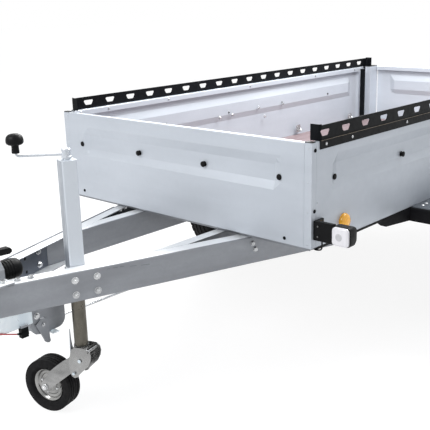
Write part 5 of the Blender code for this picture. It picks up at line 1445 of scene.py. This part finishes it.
@dataclass
class RoadWheel:
    """One road wheel: treaded tyre, pressed rim with slots, drum, nuts and valve."""

    word: str
    side: int
    tyre_half: float = 0.0925
    groove: float = 0.0065
    block_depth: float = 0.0055
    cut_depth: float = 0.0030
    bead_shares: Pairs = ((0.0, 0.93), (0.006, 0.99))
    wall_shares: Pairs = ((0.012, 0.84), (0.020, 0.90), (0.022, 0.915), (0.040, 0.985), (0.058, 1.0),
                          (0.074, 0.99), (0.076, 0.975), (0.092, 0.95))
    shoulder_shares: Pairs = ((-0.0200, 0.915), (-0.0110, 0.86), (-0.0060, 0.79), (-0.0030, 0.68))
    rim_half: float = 0.075
    rim_radius: float = 0.178
    front_lip: Pairs = ((0.0075, 0.0010), (0.0080, 0.0038), (0.0050, 0.0040), (-0.0020, 0.0005),
                        (-0.0040, -0.0100), (-0.0120, -0.0180), (-0.0200, -0.0260))
    well: Pairs = ((-0.0220, 0.010), (-0.0220, -0.010), (-0.0100, -0.022))
    rear_lip: Pairs = ((-0.0050, 0.010), (0.0050, -0.0035), (0.0080, -0.0030), (0.0075, 0.0),
                       (-0.0002, 0.002), (-0.0012, 0.012))
    inner_well: Pairs = ((-0.0060, -0.024), (-0.0180, -0.012), (-0.0180, 0.012))
    inner_lip: Pairs = ((-0.0160, -0.0270), (-0.0080, -0.0200), (-0.0005, -0.0100), (-0.0002, -0.001))
    disc: float = 0.020
    hand_holes: int = 10
    drum_offset: float = 0.0225
    nut_count: int = 5
    nut_ring: float = 0.056
    valve_ring: float = 0.150
    valve_turn: float = 0.9

    def build(self) -> None:
        """Build the wheel's pieces."""
        low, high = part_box(f"tyre_{self.word}")
        self.centre = Vector([(a + b) / 2 for a, b in zip(low, high)])
        self.radius = (high[2] - low[2]) / 2
        self.axis = Vector((0.0, self.side, 0.0))
        self.body = f"wheel_{self.word}"
        self.tyre()
        self.rim()
        self.drum()
        self.nuts()

    def tyre(self) -> None:
        """Build the tyre with ribs, grooves, shoulder blocks and a ringed sidewall."""
        crown, half, bead, segments = self.radius, self.tyre_half, self.rim_radius + 0.0005, 144
        rib, middle_rib = crown - 0.0022, crown - 0.0004
        profile = both_faces(
            shared(bead, self.rim_half, self.bead_shares) + shared(bead, half, self.wall_shares)
            + shared(crown, half, self.shoulder_shares)
            + [(rib, half * 0.60), (rib - self.groove, half * 0.58), (rib - self.groove, half * 0.50),
               (crown - 0.0016, half * 0.48), (middle_rib, half * 0.24),
               (middle_rib - self.groove, half * 0.22), (middle_rib - self.groove, half * 0.13),
               (crown, half * 0.11)])
        matrix = frame_at(self.centre, self.axis)
        piece = Workpiece()
        rings = []
        for step in range(segments):
            angle = math.tau * step / segments
            ring = []
            for radius, across in profile:
                share = abs(across) / half
                if radius > crown - 0.0125 and 0.59 < share < 0.88 and step % 4 == 0:
                    radius -= self.block_depth
                if radius > crown - 0.0045 and 0.23 < share < 0.49 and step % 3 == 0:
                    radius -= self.cut_depth
                ring.append(matrix @ Vector((radius * math.cos(angle), radius * math.sin(angle), across)))
            rings.append(ring)
        piece.skin(rings, looped=True)
        piece.done(f"tyre_{self.word}_treaded", Finish.RUBBER, self.body, angle=38.0,
                   replaced=f"tyre_{self.word}")

    def rim(self) -> None:
        """Build the rim's well and lips, and the wheel disc with its ring of hand holes."""
        half, radius, disc = self.rim_half, self.rim_radius, self.disc
        well, sheet = Workpiece(), Workpiece()
        outline = moved(radius, half, self.front_lip) + moved(radius, 0.0, self.well)
        outline += moved(radius, -half, self.rear_lip)
        outline += moved(radius, 0.0, self.inner_well) + moved(radius, half, self.inner_lip)
        well.lathe(outline, self.centre, self.axis, 96, looped=True)
        well.done(f"rim_{self.word}_well", Finish.RIM, self.body, angle=40.0, replaced=f"rim_{self.word}")
        profile = [(radius - 0.0185, disc - 0.030), (radius - 0.0240, disc - 0.020), (0.1480, disc - 0.0050),
                   (0.1400, disc + 0.0010), (0.1340, disc + 0.0040), (0.1200, disc + 0.0085),
                   (0.1130, disc + 0.0100), (0.0960, disc + 0.0105), (0.0880, disc + 0.0060),
                   (0.0780, disc + 0.0010), (0.0450, disc), (0.0330, disc + 0.0020), (0.0325, disc + 0.0280),
                   (0.0280, disc + 0.0330), (0.0150, disc + 0.0350), (0.0, disc + 0.0355)]
        segments = 120
        pitch = segments // self.hand_holes
        sheet.lathe(profile, self.centre, self.axis, segments,
                    gap=lambda row, step: row in (4, 5) and step % pitch in range(2, pitch - 4))
        made = sheet.done(f"rim_{self.word}_disc", Finish.RIM, self.body, angle=40.0)
        thick = made.modifiers.new("sheet", "SOLIDIFY")
        thick.thickness = 0.0035
        thick.offset = -1.0

    def drum(self) -> None:
        """Build the brake drum behind the disc."""
        piece = Workpiece()
        back, face = -(self.tyre_half + self.drum_offset), self.disc - 0.008
        piece.lathe([(0.0208, back + 0.038), (0.0208, back), (0.098, back), (0.100, back + 0.004),
                     (0.100, self.disc - 0.012), (0.060, face), (0.0, face)], self.centre, self.axis, 48)
        piece.done(f"drum_{self.word}", Finish.GALVANISED, self.body, angle=40.0)

    def nuts(self) -> None:
        """Add the five wheel nuts and the valve."""
        piece = Workpiece()
        face = self.centre + self.axis * 0.0205
        for step in range(self.nut_count):
            angle = math.tau * (step + 0.25) / self.nut_count
            spot = Vector((math.cos(angle) * self.nut_ring, 0.0, math.sin(angle) * self.nut_ring))
            piece.lathe([(0.0, 0.0), (0.0125, 0.0), (0.0105, 0.004), (0.0095, 0.005), (0.0095, 0.016),
                         (0.0075, 0.019), (0.0, 0.0195)], face + spot, self.axis, 18)
        turn, ring = self.valve_turn, self.valve_ring
        foot = Vector((math.cos(turn) * ring, 0.0, math.sin(turn) * ring))
        valve = [self.centre + foot + self.axis * 0.012, self.centre + foot * 0.985 + self.axis * 0.040]
        piece.tube(valve, 0.0032)
        piece.done(f"wheel_nuts_{self.word}", Finish.FIXINGS, self.body)


@dataclass
class RunningGear:
    """Axles, the four wheels, the mudguards and the thin black strips under the side walls."""

    bolt_backs: Floats = (0.905, 1.30, 1.72, 2.14, 2.54)
    bolt_out: float = 0.030
    bolt_head: Pair = (0.009, 0.004)
    front_bolt: Pair = (0.865, 0.034)
    under_strip_inset: float = 0.012
    under_strip_depth: float = 0.0105

    def build(self) -> None:
        """Dress the axles and guards, and build the wheels."""
        for row in ("front", "rear"):
            dress(f"axle_{row}", Finish.GALVANISED, 0.0015)
            for word, side in SIDES:
                RoadWheel(f"{row}_{word}", side).build()
        for word, side in SIDES:
            dress(f"mudguard_{word}", Finish.GUARD, 0.0030, 3)
            self.guard_bolts(word, side)
            self.under_wall_strip(word, side)

    def under_wall_strip(self, word: str, side: int) -> None:
        """Add a thin black strip under a side wall, from the marker lamp back to the mudguard.

        Args:
            word: left or right.
            side: 1 for the left, -1 for the right.
        """
        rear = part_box(f"mudguard_{word}")[1][0] + 0.0010
        near, far = sorted((side * (HALF_WIDTH - self.under_strip_inset), side * (HALF_WIDTH + 0.0015)))
        piece = Workpiece()
        piece.box((rear, near, BASE_Z - self.under_strip_depth), (FRONT_X - 0.045, far, BASE_Z - 0.0003))
        piece.done(f"sill_edge_{word}", Finish.PLASTIC, bevel=0.0008)

    def guard_bolts(self, word: str, side: int) -> None:
        """Add the bolts along a mudguard's inner edge.

        Args:
            word: left or right.
            side: 1 for the left, -1 for the right.
        """
        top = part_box(f"mudguard_{word}")[1][2]
        piece = Workpiece()
        for back, out in [(back, self.bolt_out) for back in self.bolt_backs] + [self.front_bolt]:
            piece.dome_bolt((FRONT_X - back, side * (HALF_WIDTH + out), top), UP, *self.bolt_head)
        piece.done(f"guard_bolts_{word}", Finish.FIXINGS)


# Lamps

@dataclass
class Lamps:
    """Marker lamps, side reflectors, rear lamps and the blank plate."""

    arm_front: float = 0.6840
    marker_inset: float = 0.041
    marker_outline: Point = (0.0405, 0.0400, 0.016)
    marker_steps: Pairs = ((0.0, 0.93), (0.0060, 0.93), (0.0100, 0.90), (0.0122, 0.84), (0.0132, 0.70))
    bolt_ups: Pair = (0.020, 0.062)
    bolt_out: float = 0.026
    bolt_head: Pair = (0.0036, 0.0030)
    lead: tuple[Point, ...] = ((0.0, 0.0, 0.0), (0.0, 0.0, 0.022), (0.006, 0.006, 0.040),
                               (0.018, 0.026, 0.052), (0.030, 0.058, 0.056), (0.034, 0.074, 0.030))
    lens_length: float = 0.060
    lens_steps: Pairs = ((0.0, 1.0), (0.0022, 1.0), (0.0034, 0.94))
    reflector_radius: float = 0.0345
    reflector_edge: float = 0.0060
    reflector_dome: float = 0.0200
    reflector_backs: Pair = (0.230, 2.560)
    reflector_up: float = 0.065
    plate_outline: Point = (0.260, 0.055, 0.008)
    plate_back: float = 2.9513
    plate_down: float = 0.083

    def build(self) -> None:
        """Dress the lamps and add lenses, reflectors and the plate."""
        for word, side in SIDES:
            dress(f"marker_lamp_{word}", Finish.PLASTIC, 0.0025, 3)
            dress(f"rear_lamp_{word}", Finish.PLASTIC, 0.0030, 3)
            self.marker_lens(word, side)
            self.rear_lenses(word, side)
        self.side_reflectors()
        self.plate()

    def marker_lens(self, word: str, side: int) -> None:
        """Add the clear front lens of a marker lamp, its reflector, bolts and lead.

        Args:
            word: left or right.
            side: 1 for the left, -1 for the right.
        """
        low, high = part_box(f"marker_lamp_{word}")
        outer = max(abs(low[1]), abs(high[1]))
        middle = Vector((high[0] - 0.003, side * (outer - self.marker_inset), (low[2] + high[2]) / 2))
        lens, eye, bolts, lead = Workpiece(), Workpiece(), Workpiece(), Workpiece()
        lens.pad(rounded(*self.marker_outline, 6), frame_at(middle, AHEAD), self.marker_steps)
        lens.done(f"marker_lens_{word}", Finish.CLEAR_LENS, angle=50.0)
        eye.lathe([(0.0, 0.0002), (0.0150, 0.0002), (0.0140, 0.0008), (0.0090, 0.0012), (0.0075, 0.0004),
                   (0.0, 0.0006)], middle + Vector((self.marker_steps[-1][0], -side * 0.004, 0.0)), AHEAD)
        eye.done(f"marker_reflector_{word}", Finish.GREY_LENS)
        for up in self.bolt_ups:
            place = (self.arm_front, side * (HALF_WIDTH + self.bolt_out), low[2] + up)
            bolts.dome_bolt(place, AHEAD, *self.bolt_head)
        bolts.done(f"marker_bolts_{word}", Finish.RIM, slot=Slot.ZINC)
        x, y, z = self.arm_front - 0.014, side * (HALF_WIDTH + 0.038), low[2] + 0.006
        route = [(x - back, y - side * inward, z - down) for back, inward, down in self.lead]
        lead.tube(smooth_route(route, 5), 0.0032)
        lead.done(f"marker_lead_{word}", Finish.PLASTIC)

    def rear_lenses(self, word: str, side: int) -> None:
        """Add the red and orange lenses of a rear lamp.

        Args:
            word: left or right.
            side: 1 for the left, -1 for the right.
        """
        low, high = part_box(f"rear_lamp_{word}")
        for name, start, finish in (("stop", 0.006, Finish.RED_LENS), ("turn", 0.070, Finish.ORANGE_LENS),
                                    ("tail", 0.134, Finish.RED_LENS)):
            middle = start + self.lens_length / 2
            across = low[1] + middle if side > 0 else high[1] - middle
            turn = frame_at((low[0] + 0.0010, across, (low[2] + high[2]) / 2), BACK)
            piece = Workpiece()
            piece.pad(rounded(self.lens_length / 2, 0.040, 0.006), turn, self.lens_steps)
            piece.done(f"rear_lens_{name}_{word}", finish, angle=50.0)

    def side_reflectors(self) -> None:
        """Add the round orange reflectors low on the side walls."""
        lens = Workpiece()
        r, edge, dome = self.reflector_radius, self.reflector_edge, self.reflector_dome
        arc = [math.pi / 16 * step for step in range(1, 8)]
        profile = [(0.0, 0.0), (r, 0.0), (r, edge)]
        profile += [(r * math.cos(angle), edge + dome * math.sin(angle)) for angle in arc]
        profile.append((0.0, edge + dome))
        for side in (-1, 1):
            for back in self.reflector_backs:
                place = (FRONT_X - back, side * HALF_WIDTH, BASE_Z + self.reflector_up)
                lens.lathe(profile, place, (0.0, side, 0.0), 48)
        lens.done("side_reflectors", Finish.ORANGE_LENS)

    def plate(self) -> None:
        """Add the blank registration plate on the rear cross member."""
        piece = Workpiece()
        turn = frame_at((FRONT_X - self.plate_back, 0.0, BASE_Z - self.plate_down), BACK)
        piece.slab(rounded(*self.plate_outline), turn, 0.0004, 0.0022)
        piece.done("blank_plate", Finish.PLATE, bevel=0.0005)


# Studio

@dataclass
class Studio:
    """Pale floor, soft lights, white surround and the camera."""

    camera_place: Point = (2.3476, 2.4284, 0.9679)
    yaw: float = 0.7450
    pitch: float = 0.2786
    roll: float = -0.0264
    lens: float = 63.38
    lamps: tuple[tuple[str, Point, Point, float, float], ...] = (
        ("key", (4.2, -0.4, 3.8), (0.4, 0.0, 0.7), 3.0, 150.0),
        ("load", (-1.0, 0.40, 2.9), (-1.0, -0.4, 0.8), 1.6, 138.0),
        ("back", (-3.6, -3.4, 4.6), (0.4, 0.0, 0.7), 3.6, 330.0))
    floor_half: float = 40.0
    floor_down: float = 0.0005

    def build(self) -> None:
        """Set up the floor, world, lights and camera."""
        self.floor()
        self.world()
        self.lights()
        self.camera()
        bpy.context.scene.view_settings.view_transform = "Standard"

    def floor(self) -> None:
        """Lay the pale floor that stays white to the camera and keeps a soft shadow."""
        mesh = bpy.data.meshes.new("floor")
        corners = [(a * self.floor_half, b * self.floor_half, -self.floor_down)
                   for a, b in ((-1, -1), (1, -1), (1, 1), (-1, 1))]
        mesh.from_pydata(corners, [], [(0, 1, 2, 3)])
        sheet = NodeSheet(bpy.data.materials.new("pale floor"))
        sheet.shade(Base_Color=(0.86, 0.86, 0.87), Roughness=0.9)
        sheet.show_to_camera(sheet.add("Emission", {"Color": WHITE, "Strength": 1.12}), 0.80)
        mesh.materials.append(sheet.owner)
        put("floor", mesh)

    def world(self) -> None:
        """Make the surround white to the camera and soft on the object."""
        world = bpy.data.worlds.new("studio")
        bpy.context.scene.world = world
        sheet = NodeSheet(world, "Background")
        sheet.shade(Color=(0.96, 0.98, 1.0), Strength=0.60)
        sheet.show_to_camera(sheet.add("Background", {"Color": WHITE, "Strength": 1.0}))

    def lights(self) -> None:
        """Hang the soft lights: one above and ahead, one over the load floor, one behind."""
        for name, place, aim, size, power in self.lamps:
            lamp = bpy.data.lights.new(name, "AREA")
            lamp.shape = "DISK"
            lamp.size = size
            lamp.energy = power
            item = put(name, lamp)
            item.rotation_euler = (Vector(aim) - Vector(place)).to_track_quat("-Z", "Y").to_euler()
            item.location = place

    def camera(self) -> None:
        """Set the camera at the photograph's place and turn."""
        level = math.cos(self.pitch)
        forward = Vector((-math.cos(self.yaw) * level, -math.sin(self.yaw) * level, -math.sin(self.pitch)))
        right = forward.cross(Vector(UP)).normalized()
        above = right.cross(forward)
        turned_right = math.cos(self.roll) * right + math.sin(self.roll) * above
        turned_up = math.cos(self.roll) * above - math.sin(self.roll) * right
        data = bpy.data.cameras.new("camera")
        data.lens = self.lens
        data.sensor_width = 36.0
        camera = put("camera", data)
        place = Vector((FRONT_X, 0.0, BASE_Z)) + Vector(self.camera_place)
        camera.matrix_world = axes_at(place, turned_right, turned_up, -forward)
        bpy.context.scene.camera = camera


def main() -> None:
    """Build the sub-assemblies in order and report each piece."""
    logging.basicConfig(level=logging.INFO, format="%(message)s")
    parts = {"body walls": BodyWalls(), "lashing rails": LashingRails(), "load floor": LoadFloor(),
             "drawbar": Drawbar(), "overrun gear": OverrunGear(), "jockey stand": JockeyStand(),
             "running gear": RunningGear(), "lamps": Lamps(), "studio": Studio()}
    for name, part in parts.items():
        before = set(bpy.data.objects)
        part.build()
        added = [piece.name for piece in bpy.data.objects if piece not in before]
        LOG.info("%s: %d pieces: %s", name, len(added), ", ".join(added))


if __name__ == "__main__":
    main()
